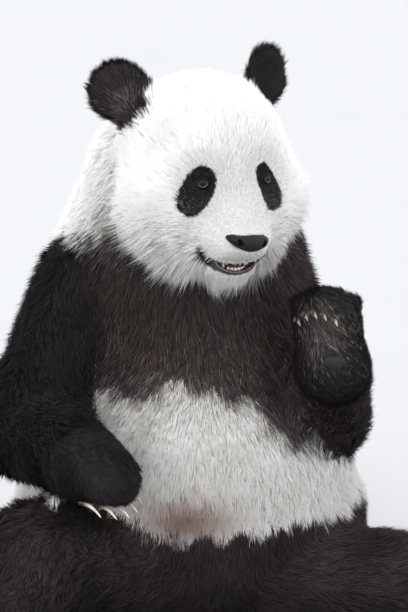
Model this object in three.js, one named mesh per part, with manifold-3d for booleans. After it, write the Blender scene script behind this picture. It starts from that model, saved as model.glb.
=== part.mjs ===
// A life-size giant panda that sits on the floor, with one forepaw raised and curled and the other
// held in front of the belly.
//
// Millimetres, +Z up. The origin is on the floor under the pelvis, the belly faces -Y and the panda's
// left side is +X. The solids reach out to the tips of the coat.
//
// The animal is kneaded from clay: each form (an egg or a limb) tells how far a point lies from its
// surface, and forms that touch flow into each other. A three.js sphere or capsule is then pressed
// onto the clay, each of its points moving out from the middle until it meets the surface. The
// pressed solids are parted from each other with thin gaps.
import * as THREE from 'three';
import { mergeVertices } from 'three/addons/utils/BufferGeometryUtils.js';
import Module from 'manifold-3d';

// ---------------------------------------------------------------- driving dimensions

const GAP = 0.35; // between two neighbouring solids
const FAR = 4000; // half the side of a box that stands for a half space

// Where the skeleton's joints lie: the head turns in its own frame, forward is its own -Y.
const HEAD_AT = [-26, -88, 806];
const HEAD_TURN = { nod: 5.9, tilt: -2.2, turn: 11.9 }; // degrees; a tilt above 0 raises its left side
const ARMS = {
  right: { shoulder: [-178, 42, 592], elbow: [-318, -52, 362], wrist: [-256, -236, 352] },
  left: { shoulder: [112, 40, 556], elbow: [188, -85, 352], wrist: [166, -232, 484] },
};
const LEGS = {
  right: { hip: [-104, -96, 122], knee: [-340, -215, 194], ankle: [-468, -408, 59] },
  left: { hip: [98, -108, 94], knee: [352, -228, 76], ankle: [560, -312, 58] },
};
const ARM_GIRTHS = [98, 82, 68]; // radius of the coat at the shoulder, the elbow and the wrist
const LEG_GIRTHS = [112, 88, 70]; // and at the hip, the knee and the ankle
const TAIL = { length: 136, width: 112, thick: 88 };

// The feet: where they start, which way the toes and the back of the foot point, how far the toes
// are bent (degrees), the size of the sole, and how much wider the tips of the toes spread than the
// knuckles (less than 1 in a fist).
const TOES = 5;
const PAWS = {
  hand_right: { toes: [0.5, -0.84, -0.16], back: [0.1, -0.2, 1], curl: 70, sole: 88, width: 120 },
  hand_left: {
    toes: [-0.14, -0.02, 1], back: [0.6, 0.78, 0.1], curl: 105, sole: 137, width: 139, spread: 0.64,
  },
  foot_right: { toes: [-0.36, -0.3, 0.9], back: [0.5, 0.75, 0.44], curl: 22, sole: 124, width: 108 },
  foot_left: { toes: [0.26, -0.06, 1], back: [-0.92, 0.38, 0.2], curl: 22, sole: 124, width: 108 },
};
const TOE = { length: 34, knuckle: 22, tip: 16 }; // length of the middle toe, radius at its ends
const CLAW = { length: 44, radius: 5, droop: 12, flex: 1.35 }; // with its root in the toe
const CUFF = 30; // how far above the wrist or the ankle a foot is parted from its limb

// The head, in its own frame.
const EAR = { out: 134, behind: 40, above: { right: 119, left: 133 }, radius: 60, thick: 34 };
const EAR_TURN = { turn: 27, lean: -16 }; // degrees, out to the side and back
const EYE = { out: 55, front: -126, above: 11, radius: 12 };
const NOSE = { front: -189, below: -75, width: 74, height: 28 };
const MOUTH = { front: -142, below: -108, width: 100, depth: 92, height: 22, slope: 28 };
const INCISORS = 6; // in the lower jaw, with a canine at each end of their row

// ---------------------------------------------------------------- clay

const point = (xyz) => new THREE.Vector3(...xyz);
const radians = THREE.MathUtils.degToRad;
const mix = THREE.MathUtils.lerp;

// An egg-shaped form: its middle, its three radii and its turn in degrees about x, y and z.
function egg(middle, [rx, ry, rz], turn = [0, 0, 0]) {
  const centre = point(middle);
  const straighten = new THREE.Quaternion()
    .setFromEuler(new THREE.Euler(...turn.map(radians), 'ZYX'))
    .invert();
  const q = new THREE.Vector3();
  return (p) => {
    q.copy(p).sub(centre).applyQuaternion(straighten);
    const near = Math.hypot(q.x / rx, q.y / ry, q.z / rz);
    const steep = Math.hypot(q.x / rx ** 2, q.y / ry ** 2, q.z / rz ** 2);
    return steep > 0 ? (near * (near - 1)) / steep : -Math.min(rx, ry, rz);
  };
}

// A tapered round bar from one joint to the next.
function limb(from, fromR, to, toR) {
  const start = point(from);
  const along = point(to).sub(start);
  const q = new THREE.Vector3();
  return (p) => {
    q.copy(p).sub(start);
    const t = THREE.MathUtils.clamp(q.dot(along) / along.lengthSq(), 0, 1);
    return q.addScaledVector(along, -t).length() - mix(fromR, toR, t);
  };
}

// Forms kneaded together: where two surfaces are closer than blend, they flow into each other.
function knead(blend, ...forms) {
  return (p) => forms.map((form) => form(p)).reduce((a, b) => {
    const meet = Math.max(blend - Math.abs(a - b), 0) / blend;
    return Math.min(a, b) - (meet * meet * blend) / 4;
  });
}

// The same clay with the x of each point turned over, for the other side of the body.
function mirrored(form) {
  const q = new THREE.Vector3();
  return (p) => form(q.set(-p.x, p.y, p.z));
}

// Moves each point of a geometry out from its middle, which may lie along a line from start to end,
// until it is as far outside the clay as gap says.
const PRESSES = 80; // at most, for one point
const CLOSE = 0.004; // mm
const STRIDE = 0.7; // the share of the way to the surface that one press takes
function press(geometry, clay, start, end = start, gap = 0) {
  const shape = onlyPositions(geometry);
  const place = shape.attributes.position;
  const axis = new THREE.Line3(point(start), point(end));
  const p = new THREE.Vector3();
  const middle = new THREE.Vector3();
  const way = new THREE.Vector3();
  for (let i = 0; i < place.count; i += 1) {
    p.fromBufferAttribute(place, i);
    axis.closestPointToPoint(p, true, middle);
    way.subVectors(p, middle).normalize();
    let out = 0;
    for (let tries = 0; tries < PRESSES; tries += 1) {
      const short = gap - clay(p.copy(middle).addScaledVector(way, out));
      out += STRIDE * short;
      if (Math.abs(short) < CLOSE) break;
    }
    place.setXYZ(i, ...p.copy(middle).addScaledVector(way, out).toArray());
  }
  return shape;
}

// A geometry without normals or uvs, its doubled points merged and its flat triangles dropped.
function onlyPositions(geometry) {
  const bare = new THREE.BufferGeometry();
  bare.setAttribute('position', geometry.getAttribute('position').clone());
  if (geometry.index) bare.setIndex(geometry.index.clone());
  const merged = mergeVertices(bare, 1e-3);
  const kept = [];
  for (let i = 0; i < merged.index.count; i += 3) {
    const [a, b, c] = [0, 1, 2].map((k) => merged.index.getX(i + k));
    if (a !== b && b !== c && c !== a) kept.push(a, b, c);
  }
  merged.setIndex(kept);
  return merged;
}

// A ball of triangles of one size, and a capsule laid from start to end, both ready to be pressed.
const ballAt = (middle, detail) => new THREE.IcosahedronGeometry(1, detail).translate(...middle);
function capsuleAlong(start, end, around, along) {
  const way = point(end).sub(point(start));
  const turn = new THREE.Quaternion()
    .setFromUnitVectors(new THREE.Vector3(0, 1, 0), way.clone().normalize());
  return new THREE.CapsuleGeometry(1, way.length(), Math.ceil(around / 4), around, along)
    .applyQuaternion(turn)
    .translate(...point(start).addScaledVector(way, 0.5).toArray());
}

// ---------------------------------------------------------------- cutting and joining

const wasm = await Module();
wasm.setup();

function solid(geometry) {
  const merged = onlyPositions(geometry);
  return new wasm.Manifold(new wasm.Mesh({
    numProp: 3,
    vertProperties: new Float32Array(merged.attributes.position.array),
    triVerts: new Uint32Array(merged.index.array),
  }));
}

function geometryOf(made) {
  const mesh = made.getMesh();
  const geometry = new THREE.BufferGeometry();
  geometry.setAttribute('position', new THREE.BufferAttribute(new Float32Array(mesh.vertProperties), 3));
  geometry.setIndex([...mesh.triVerts]);
  const faceted = geometry.toNonIndexed();
  faceted.computeVertexNormals();
  return faceted;
}

// All that lies on the side of a plane that its direction points away from.
function behind(at, direction) {
  const away = point(direction).normalize();
  const box = new THREE.BoxGeometry(2 * FAR, 2 * FAR, 2 * FAR).translate(0, 0, -FAR);
  box.applyQuaternion(new THREE.Quaternion().setFromUnitVectors(new THREE.Vector3(0, 0, 1), away));
  return solid(box.translate(...at));
}
const reversed = (direction) => direction.map((d) => -d);

// One piece of a limb between two parting planes, each given by a point and the way out of the piece.
function parted(made, ...planes) {
  return planes.reduce((rest, [at, out]) => {
    const inner = point(at).addScaledVector(point(out).normalize(), -GAP / 2).toArray();
    return rest.intersect(behind(inner, out));
  }, made);
}

const aboveFloor = (made) => made.intersect(behind([0, 0, 0], [0, 0, -1]));

// A solid taken from its own frame to the body's.
const placed = (made, matrix) => solid(geometryOf(made).applyMatrix4(matrix));

// The way that halves the bend of a joint between the pieces before and after it.
function throughJoint(before, joint, after) {
  const arriving = point(joint).sub(point(before)).normalize();
  const leaving = point(after).sub(point(joint)).normalize();
  return arriving.add(leaving).normalize().toArray();
}

// ---------------------------------------------------------------- materials

const finish = (color, roughness) => new THREE.MeshStandardMaterial({ color, roughness, metalness: 0 });
const WHITE_COAT = () => finish(0xe9e6df, 0.9);
const BLACK_COAT = () => finish(0x1f1a1a, 0.85);
const CLAW_HORN = () => finish(0xb9ae9b, 0.4);
const NOSE_LEATHER = () => finish(0x1d1b1c, 0.45);
const WET_EYE = () => finish(0x24150e, 0.08);
const GUMS = () => finish(0x7c3733, 0.4);

const panda = new THREE.Group();
panda.name = 'panda';
function add(group, name, made, material) {
  const mesh = new THREE.Mesh(made.isBufferGeometry ? made : geometryOf(made), material);
  mesh.name = name;
  group.add(mesh);
  return mesh;
}

// ---------------------------------------------------------------- trunk, neck and tail

const TRUNK_CORE = [[0, 10, 180], [-26, 12, 730]]; // the line that the trunk is pressed from
const NECK_PARTING = [[0, 60, 654], [0, -0.04, 1]]; // where the neck leaves the trunk, and the way up
const BELLY_PARTING = [[0, -210, 452], [0, -0.22, 1]]; // and the chest the belly

const trunkClay = knead(
  70,
  egg([0, 12, 170], [235, 232, 176]), // pelvis
  egg([150, 15, 150], [156, 190, 150]), // left haunch
  egg([-172, 5, 172], [166, 180, 146]), // right haunch, drawn up with its leg
  egg([0, -28, 305], [248, 222, 215]), // belly
  egg([0, 62, 360], [214, 182, 200]), // back
  egg([0, 22, 500], [202, 188, 200]), // chest
  egg([-24, 56, 620], [202, 144, 140]), // the hump behind the shoulders
  limb([-30, 34, 650], 188, [-30, 6, 758], 166), // neck
);
const trunkShell = (gap) => solid(press(capsuleAlong(...TRUNK_CORE, 20, 9), trunkClay, ...TRUNK_CORE, gap));
const roundTrunk = trunkShell(GAP);

// The tail hangs flat against the rump, its tip on the floor.
const tailAt = [0, 222, TAIL.length / 2];
const tailClay = egg(tailAt, [TAIL.width / 2, TAIL.thick / 2, TAIL.length * 0.54], [-20, 0, 0]);
const tail = aboveFloor(solid(press(ballAt(tailAt, 2), tailClay, tailAt))).subtract(roundTrunk);

// ---------------------------------------------------------------- head

const headGroup = new THREE.Group();
headGroup.name = 'posed_head';
headGroup.position.set(...HEAD_AT);
headGroup.rotation.order = 'ZXY';
headGroup.rotation.set(radians(HEAD_TURN.nod), radians(-HEAD_TURN.tilt), radians(HEAD_TURN.turn));
headGroup.updateMatrix();
panda.add(headGroup);

const cheek = egg([86, -60, -36], [80, 76, 78], [0, 0, 12]);
const jowl = egg([61, -86, -98], [56, 57, 53]);
const lipPad = egg([26, -158, -90], [32, 36, 26], [0, 0, -18]);
const headClay = knead(
  34,
  egg([0, -2, 24], [143, 130, 134]), // skull
  egg([0, -40, 34], [112, 88, 94]), // brow
  cheek,
  mirrored(cheek),
  jowl,
  mirrored(jowl),
  egg([0, -82, -38], [88, 62, 60]), // face between the eyes and the cheeks
  limb([0, -95, -8], 46, [0, -148, -56], 38), // bridge of the nose
  lipPad,
  mirrored(lipPad),
);
const HEAD_MIDDLE = [0, -40, -10];
const headShell = (gap) => solid(press(ballAt(HEAD_MIDDLE, 6), headClay, HEAD_MIDDLE, HEAD_MIDDLE, gap));

const jawClay = knead(
  30,
  limb([0, -68, -100], 60, [0, -120, -118], 46),
  egg([0, -146, -132], [44, 30, 26]), // chin
);
const JAW_MIDDLE = [0, -98, -124];
const jawShell = (gap) => solid(press(ballAt(JAW_MIDDLE, 2), jawClay, JAW_MIDDLE, JAW_MIDDLE, gap));

const mouthAt = [0, MOUTH.front, MOUTH.below];
const mouthHollow = (gap) => solid(press(
  ballAt(mouthAt, 1),
  egg(mouthAt, [MOUTH.width / 2, MOUTH.depth / 2, MOUTH.height / 2], [MOUTH.slope, 0, 0]),
  mouthAt,
  mouthAt,
  gap,
));

const eyeAt = (side) => [side * EYE.out, EYE.front, EYE.above];
const eyeBall = (side, gap) => solid(new THREE.SphereGeometry(EYE.radius + gap, 8, 6)
  .rotateX(Math.PI / 2).translate(...eyeAt(side)));

// The nose: a rounded half moon of leather, wide above and narrow below, with a nostril on each side.
const noseAt = [0, NOSE.front, NOSE.below];
const noseClay = knead(
  8,
  egg([0, NOSE.front, NOSE.below + NOSE.height / 5], [NOSE.width / 2, 20, NOSE.height * 0.34], [-10, 0, 0]),
  egg([0, NOSE.front, NOSE.below - NOSE.height / 7], [NOSE.width / 3.4, 19, NOSE.height * 0.38]),
);
const noseShell = (gap) => solid(press(ballAt(noseAt, 2), noseClay, noseAt, noseAt, gap));
const nostril = (side) => {
  const at = [side * 20, NOSE.front - 17, NOSE.below];
  return solid(press(ballAt(at, 0), egg(at, [8, 9, 4], [0, 25 * side, 0]), at));
};

function ear(word, side) {
  const turn = [EAR_TURN.lean, 0, side * EAR_TURN.turn];
  const [x, y, z] = [side * EAR.out, EAR.behind, EAR.above[word]];
  const disc = egg([x, y, z], [EAR.radius, EAR.thick / 2, EAR.radius], turn);
  const cup = egg([x + side * 12, y - 34, z + 4], [44, 26, 46], turn);
  const middle = [x, y + 12, z];
  return solid(press(ballAt(middle, 3), (p) => Math.max(disc(p), -cup(p)), middle));
}

// The tongue lies in the mouth, and the lower teeth stand in front of it on the jaw's rim.
const mouthSlope = [MOUTH.slope, 0, 0];
const tongueAt = [0, MOUTH.front + 6, MOUTH.below - 3];
const tongue = solid(press(ballAt(tongueAt, 1), egg(tongueAt, [20, 28, 4], mouthSlope), tongueAt));

function tooth(x, forward, tall, radius) {
  const y = MOUTH.front - forward;
  const root = MOUTH.below - forward * Math.tan(radians(MOUTH.slope)) - MOUTH.height * 0.45;
  return solid(new THREE.CylinderGeometry(radius * 0.55, radius, tall, 5)
    .rotateX(Math.PI / 2).translate(x, y, root + tall / 2));
}
const lowerTeeth = [-1, 1].map((side) => tooth(side * 25, 24, 15, 5));
for (let i = 0; i < INCISORS; i += 1) {
  const x = (i - (INCISORS - 1) / 2) * 7;
  lowerTeeth.push(tooth(x, 31 - (x * x) / 90, 9, 3.4));
}

const headCutter = headShell(GAP);
const jawCutter = jawShell(GAP);
const nose = noseShell(0).subtract(nostril(-1)).subtract(nostril(1));
const head = [-1, 1].reduce((made, side) => made.subtract(eyeBall(side, GAP)), headShell(0))
  .subtract(mouthHollow(0))
  .subtract(jawCutter)
  .subtract(noseShell(GAP));
const jaw = lowerTeeth.reduce((made, one) => made.add(one), jawShell(0).subtract(mouthHollow(0)));

add(headGroup, 'head', head, WHITE_COAT());
add(headGroup, 'jaw', jaw, WHITE_COAT());
add(headGroup, 'nose', nose, NOSE_LEATHER());
add(headGroup, 'tongue', tongue, GUMS());
for (const [word, side] of [['right', -1], ['left', 1]]) {
  add(headGroup, `ear_${word}`, ear(word, side).subtract(headCutter), BLACK_COAT());
  add(headGroup, `eye_${word}`, eyeBall(side, 0), WET_EYE());
}

const headInBody = placed(headCutter, headGroup.matrix);
const jawInBody = placed(jawCutter, headGroup.matrix);
const [neckAt, neckUp] = NECK_PARTING;
const [bellyAt, bellyUp] = BELLY_PARTING;
const body = aboveFloor(trunkShell(0)).subtract(headInBody).subtract(jawInBody);
add(panda, 'belly', parted(body, [bellyAt, bellyUp]), WHITE_COAT());
add(panda, 'chest', parted(body, [bellyAt, reversed(bellyUp)], [neckAt, neckUp]), BLACK_COAT());
add(panda, 'neck', parted(body, [neckAt, reversed(neckUp)]), WHITE_COAT());
add(panda, 'tail', tail, WHITE_COAT());

// ---------------------------------------------------------------- feet

// A claw: a cone whose tip bends down, with its root at the origin and its tip along -Y.
function clawShape() {
  const cone = new THREE.ConeGeometry(CLAW.radius, CLAW.length, 5, 2)
    .rotateX(-Math.PI / 2).translate(0, -CLAW.length / 2, 0).scale(0.8, 1, 1);
  const place = cone.attributes.position;
  for (let i = 0; i < place.count; i += 1) {
    const along = -place.getY(i) / CLAW.length;
    place.setZ(i, place.getZ(i) - CLAW.droop * along ** 2);
  }
  return cone;
}

// One foot, with the end of its limb from stub to ankle: the sole from the ankle, and the toes in a
// bowed row, bent down by curl. Returns the foot and the place of each claw.
function foot(ankle, stub, girth, { toes, back, curl, sole, width, spread = 1.06 }) {
  const away = point(toes).normalize();
  const up = point(back).addScaledVector(away, -point(back).dot(away)).normalize();
  const across = new THREE.Vector3().crossVectors(up, away);
  const frame = new THREE.Matrix4()
    .makeBasis(across, away.clone().negate(), up)
    .setPosition(...ankle);
  const stubAt = point(stub).applyMatrix4(frame.clone().invert()).toArray();
  const palmClay = knead(
    24,
    limb(stubAt, girth, [0, 0, 0], girth - 4),
    limb([0, 0, 0], girth - 8, [0, -sole * 0.5, 0], 48),
    egg([0, -sole * 0.62, -2], [width / 2, sole * 0.4, 38]),
  );
  const palmAt = [0, -sole * 0.25, 0];
  let paw = solid(press(ballAt(palmAt, 2), palmClay, palmAt));
  const bent = radians(curl);
  const claws = [];
  for (let i = 0; i < TOES; i += 1) {
    const row = i - (TOES - 1) / 2;
    const knuckle = [row * (width / TOES) * 0.92, -sole * 0.92 + row * row * 4, 2];
    const reach = TOE.length - row * row * 1.5;
    const tip = [
      knuckle[0] * spread,
      knuckle[1] - reach * Math.cos(bent),
      knuckle[2] - reach * Math.sin(bent),
    ];
    const toeClay = limb(knuckle, TOE.knuckle, tip, TOE.tip);
    paw = paw.add(solid(press(capsuleAlong(knuckle, tip, 5, 1), toeClay, knuckle, tip)));
    claws.push(new THREE.Matrix4().makeRotationX(bent * CLAW.flex).setPosition(...tip));
  }
  return { paw: placed(paw, frame), claws: claws.map((turn) => turn.premultiply(frame)) };
}

// ---------------------------------------------------------------- limbs

// A limb of two stretches, each pressed onto the clay of both, and a foot at its end.
function addLimb(joints, girths, names, spec) {
  const [root, middle, end] = joints;
  const clay = knead(45, limb(root, girths[0], middle, girths[1]), limb(middle, girths[1], end, girths[2]));
  const stretch = (from, to) => aboveFloor(solid(press(capsuleAlong(from, to, 10, 3), clay, from, to)));
  const bend = throughJoint(root, middle, end);
  const endWay = point(end).sub(point(middle)).normalize();
  const cuffAt = point(end).addScaledVector(endWay, -CUFF).toArray();
  const stub = point(end).addScaledVector(endWay, -2 * CUFF).toArray();
  const outwards = endWay.toArray();
  const { paw, claws } = foot(end, stub, girths[2], spec);

  const upper = parted(stretch(root, middle), [middle, bend]);
  const lower = parted(stretch(middle, end), [middle, reversed(bend)], [cuffAt, outwards]);
  const last = parted(aboveFloor(paw), [cuffAt, reversed(outwards)]);
  [upper, lower, last].forEach((made, i) => {
    add(panda, names[i], made.subtract(roundTrunk), BLACK_COAT());
  });
  claws.forEach((turn, i) => {
    const claw = solid(clawShape().applyMatrix4(turn)).subtract(last);
    add(panda, `claw_${names[2]}_${i + 1}`, claw, CLAW_HORN());
  });
}

for (const word of ['right', 'left']) {
  const { shoulder, elbow, wrist } = ARMS[word];
  addLimb([shoulder, elbow, wrist], ARM_GIRTHS,
    [`upper_arm_${word}`, `forearm_${word}`, `hand_${word}`], PAWS[`hand_${word}`]);
  const { hip, knee, ankle } = LEGS[word];
  addLimb([hip, knee, ankle], LEG_GIRTHS,
    [`thigh_${word}`, `shank_${word}`, `foot_${word}`], PAWS[`foot_${word}`]);
}

export default panda;
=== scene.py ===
# %% [markdown]
# # A giant panda in fur
#
# The frame that this script loads is a life-size panda made of plain solids, whose surface is where the
# tips of the coat end. Here it gets its looks: one skin a little way inside those solids, a coat of many
# thousand small tufts on the skin, and finer eyes, nose, mouth, pads and claws.

import math

import bmesh
import bpy
import numpy as np
from mathutils import Matrix, Vector
from mathutils.bvhtree import BVHTree


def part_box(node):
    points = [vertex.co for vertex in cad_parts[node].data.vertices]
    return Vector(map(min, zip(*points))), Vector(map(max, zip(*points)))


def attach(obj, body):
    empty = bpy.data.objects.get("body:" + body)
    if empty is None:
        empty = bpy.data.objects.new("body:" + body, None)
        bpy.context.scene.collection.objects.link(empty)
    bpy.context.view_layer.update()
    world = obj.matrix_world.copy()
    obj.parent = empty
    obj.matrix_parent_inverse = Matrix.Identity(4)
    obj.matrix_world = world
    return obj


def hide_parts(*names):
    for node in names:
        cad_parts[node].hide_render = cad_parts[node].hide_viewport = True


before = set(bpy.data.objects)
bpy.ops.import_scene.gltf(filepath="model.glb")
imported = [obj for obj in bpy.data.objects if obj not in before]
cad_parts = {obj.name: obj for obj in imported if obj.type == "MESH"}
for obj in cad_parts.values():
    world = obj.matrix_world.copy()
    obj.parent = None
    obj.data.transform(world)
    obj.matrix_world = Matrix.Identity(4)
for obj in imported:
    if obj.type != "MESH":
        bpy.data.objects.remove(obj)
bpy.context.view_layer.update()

# %% [markdown]
# Some places are easier to say in the head's own frame, where forward is -Y and up is +Z, however the head
# is turned. These are the head's place and its three turns, in the order tilt, nod, turn.

# %% The head's frame
HEAD_AT = np.array((-0.026, -0.088, 0.806))
TILT, NOD, TURN = (math.radians(a) for a in (2.2, 5.9, 11.9))
head_turn = Matrix.Rotation(TURN, 3, "Z") @ Matrix.Rotation(NOD, 3, "X") @ Matrix.Rotation(TILT, 3, "Y")
HEAD_AXES = np.array(head_turn)
print("the head faces", (-HEAD_AXES[:, 1]).round(2))


def in_head(points):
    """Points of the body's frame, told in the head's frame."""
    return (np.asarray(points) - HEAD_AT) @ HEAD_AXES


def from_head(points):
    """Points of the head's frame, told in the body's frame."""
    return np.asarray(points) @ HEAD_AXES.T + HEAD_AT


# %% [markdown]
# Fur has no hard borders, so most of what follows is said with masks: numbers from 0 to 1 at every point of
# the skin. They could be painted by hand. Here smooth steps, hills and blobs make them from places on the
# body, so that each border can be moved by one number.

# %% Small helpers for masks


def unit(vectors):
    """Vectors with their length made 1."""
    return vectors / np.maximum(np.linalg.norm(vectors, axis=-1, keepdims=True), 1e-9)


def smoothstep(low, high, x):
    """0 at low, 1 at high, and a smooth rise between them; low may be the larger one."""
    t = np.clip((x - low) / (high - low), 0, 1)
    return t * t * (3 - 2 * t)


def hill(x, top, width):
    """1 at top, and a smooth fall to nearly 0 at twice the width on both sides."""
    return np.exp(-(((x - top) / width) ** 2))


def distance(points, place):
    """How far each point lies from a place."""
    return np.linalg.norm(points - place, axis=1)


def blob(points, middle, size):
    """1 at a place, and a smooth fall around it, with a size for each axis."""
    return np.exp(-(((points - middle) / size) ** 2).sum(1))


# %% [markdown]
# Blender keeps a mesh's data in long lists. Numpy reads and writes a whole list in one step, which is many
# times faster than a loop over the points, and the meshes of this model have hundreds of thousands of them.

# %% Small helpers for meshes


def read(collection, key, width, kind=np.float32):
    """One value of each item of a mesh's collection, as an array."""
    flat = np.empty(len(collection) * width, kind)
    collection.foreach_get(key, flat)
    return flat.reshape(-1, width) if width > 1 else flat


def put_points(mesh, points):
    """Moves a mesh's points."""
    mesh.vertices.foreach_set("co", np.asarray(points, np.float32).ravel())
    mesh.update()


def bleed(mesh, values, rounds):
    """Each point's value moves half way to its neighbours' mean, round after round."""
    a, b = read(mesh.edges, "vertices", 2, np.int32).T
    count = len(mesh.vertices)
    ways = np.maximum(np.bincount(a, minlength=count) + np.bincount(b, minlength=count), 1)
    columns = np.array(values, float).reshape(count, -1)
    for _ in range(rounds):
        for i in range(columns.shape[1]):
            column = columns[:, i]
            mean = (np.bincount(a, column[b], count) + np.bincount(b, column[a], count)) / ways
            columns[:, i] = (column + mean) / 2
    return columns


# %% [markdown]
# Every piece starts as a form in bmesh or as a plain ball, and ends as an object at the origin. These
# helpers do the steps that all pieces share.

# %% Small helpers for pieces


def new_object(name, data):
    """A new object at the origin that holds a mesh, a lamp or a camera."""
    made = bpy.data.objects.new(name, data)
    bpy.context.scene.collection.objects.link(made)
    return made


def mesh_of(form, name):
    """A bmesh made into a mesh with smooth faces."""
    for face in form.faces:
        face.smooth = True
    mesh = bpy.data.meshes.new(name)
    form.to_mesh(mesh)
    form.free()
    return mesh


def new_ball(name, **detail):
    """A unit ball as a mesh, and its points: an icosphere for subdivisions, a globe for u and v segments."""
    form = bmesh.new()
    make = bmesh.ops.create_icosphere if "subdivisions" in detail else bmesh.ops.create_uvsphere
    make(form, radius=1, **detail)
    mesh = mesh_of(form, name)
    return mesh, read(mesh.vertices, "co", 3).astype(float)


def applied(made):
    """The mesh of an object with its modifiers applied; the object itself is removed."""
    graph = bpy.context.evaluated_depsgraph_get()
    mesh = bpy.data.meshes.new_from_object(made.evaluated_get(graph), depsgraph=graph)
    bpy.data.objects.remove(made)
    return mesh


# %% [markdown]
# The body has ten regions, each with a coat of its own, and the name of a solid says which one it belongs
# to. The mouth is given by a few numbers in the head's frame: the lens that opens it, and the line along
# which the lips meet beside it. Modelling it by hand would be freer, but numbers let skin, hair and colour
# agree on it.

# %% Regions of the body, and the shape of the mouth
VOXEL = 0.0068
PREFIXES = {
    "head": "head", "jaw": "head", "ear": "ear", "neck": "neck", "chest": "chest", "belly": "belly",
    "upper_arm": "arm", "forearm": "arm", "hand": "hand", "thigh": "leg", "shank": "leg", "foot": "foot",
    "tail": "tail",
}
REGIONS = sorted(set(PREFIXES.values()))
EYE = np.array((0.056, -0.1235, 0.011))
EYE_RADIUS = 0.0115
MOUTH = np.array((-0.0035, -0.160, -0.1205))
MOUTH_SIZE = np.array((0.0345, 0.046, 0.0090))
MOUTH_SMILE, MOUTH_SWEEP = 0.0060, 0.0096
MOUTH_CORNER = 0.0585
MOUTH_FRONT = -0.11  # the lips lie farther forward than this
# how far across from the middle, and how high the line between the lips is there
LIP_ACROSS = (0.0, 0.012, 0.022, 0.0335, 0.0425, 0.0505, 0.0585)
LIP_HEIGHTS = (-0.1205, -0.1198, -0.1181, -0.1150, -0.1085, -0.1000, -0.0880)


def region_of(node):
    """The region that a solid belongs to, or None for what isn't flesh."""
    for prefix, region in PREFIXES.items():
        if node == prefix or node.startswith(prefix + "_"):
            return region
    return None


def mirrored_x(points):
    """Points of the head's frame with the right half laid over the left."""
    return points * np.where(points[:, :1] < 0, (-1, 1, 1), (1, 1, 1))


def lip_line(x):
    """The height of the line between the lips, x across the head."""
    return np.interp(np.abs(x - MOUTH[0]), LIP_ACROSS, LIP_HEIGHTS)


def mouth_reach(local):
    """How far out a point lies in the lens of the mouth: 0 in its middle, 1 on its surface."""
    out = (local - MOUTH) / MOUTH_SIZE
    bow = np.minimum(out[:, 0] ** 2, 1.4)
    out[:, 1] -= bow * MOUTH_SWEEP / MOUTH_SIZE[1]
    out[:, 2] -= bow * MOUTH_SMILE / MOUTH_SIZE[2]
    return np.linalg.norm(out, axis=1)


def near_lips(local, gap):
    """Whether points lie near the line between the lips, on the front of the head."""
    on_line = np.abs(local[:, 2] - lip_line(local[:, 0])) < gap
    return on_line & (np.abs(local[:, 0] - MOUTH[0]) < MOUTH_CORNER + gap) & (local[:, 1] < MOUTH_FRONT)


print("regions", REGIONS)

# %% [markdown]
# The skin is one mesh, so that no seam shows between the solids. They could be joined by a boolean, but
# that keeps the creases between them. A voxel remesh melts copies of them together instead, as the gaps
# between them are far narrower than a voxel. The eyes melt in too, so that no socket is left, and the lids
# are folded over them later.

# %% Melt the flesh solids into one skin
flesh_nodes = [node for node in sorted(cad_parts) if region_of(node)]
flesh = bmesh.new()
face_node = []
for number, node in enumerate(flesh_nodes):
    flesh.from_mesh(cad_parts[node].data)
    face_node += [number] * (len(flesh.faces) - len(face_node))
flesh_tree = BVHTree.FromBMesh(flesh)
for inner in ("eye_left", "eye_right", "nose"):
    flesh.from_mesh(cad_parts[inner].data)
bmesh.ops.remove_doubles(flesh, verts=flesh.verts, dist=1e-6)
melted = new_object("melted", mesh_of(flesh, "flesh"))
melt = melted.modifiers.new("melt", "REMESH")
melt.mode, melt.voxel_size = "VOXEL", VOXEL
melted_mesh = applied(melted)
print("melted", len(flesh_nodes), "solids into", len(melted_mesh.vertices), "points")

# %% [markdown]
# A face needs finer faces than a back does. They are divided near the eyes and the lips only, and the mouth
# is then cut out with a lens that is flat above and hangs down in the middle below.

# %% Divide the face and cut the mouth


def refine(form, near):
    """Divides the edges of the faces that near picks, given their middles in the head's frame."""
    middles = in_head([face.calc_center_median() for face in form.faces])
    picked = {edge for face, chosen in zip(form.faces, near(middles)) if chosen for edge in face.edges}
    bmesh.ops.subdivide_edges(form, edges=list(picked), cuts=1, use_grid_fill=True)


form = bmesh.new()
form.from_mesh(melted_mesh)
refine(form, lambda p: (p[:, 1] < -0.075) & (np.abs(p[:, 0]) < 0.105) & (p[:, 2] > -0.17) & (p[:, 2] < 0.05))
for eye_room, mouth_room, lip_room in ((0.028, 1.9, 0.012), (0.019, 1.35, 0.006)):
    refine(form, lambda p: (distance(mirrored_x(p), EYE) < eye_room)
           | (mouth_reach(p) < mouth_room) | near_lips(p, lip_room))
face_mesh = mesh_of(form, "fine_face")

lens_mesh, lens = new_ball("mouth_lens", subdivisions=5)
bow = lens[:, :1] ** 2
lens = lens * MOUTH_SIZE + MOUTH + bow * (0, MOUTH_SWEEP, MOUTH_SMILE)
put_points(lens_mesh, from_head(lens))
cutter = new_object("mouth_lens", lens_mesh)
cut_face = new_object("cut_face", face_mesh)
cut = cut_face.modifiers.new("mouth", "BOOLEAN")
cut.object, cut.operation, cut.solver = cutter, "DIFFERENCE", "EXACT"
skin_mesh = applied(cut_face)
skin_mesh.calc_loop_triangles()
bpy.data.objects.remove(cutter)
print("skin", len(skin_mesh.vertices), "points", len(skin_mesh.loop_triangles), "triangles")

# %% [markdown]
# Each point of the skin now learns its region, and the way that the hair lies there. On the head the hair
# runs away from the nose, on the trunk it falls, and on a limb it runs down the limb.

# %% Regions and the lie of the coat


def middle_of(*nodes):
    """The middle of the boxes of one or more solids."""
    return np.mean([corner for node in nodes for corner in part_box(node)], axis=0)


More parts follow.
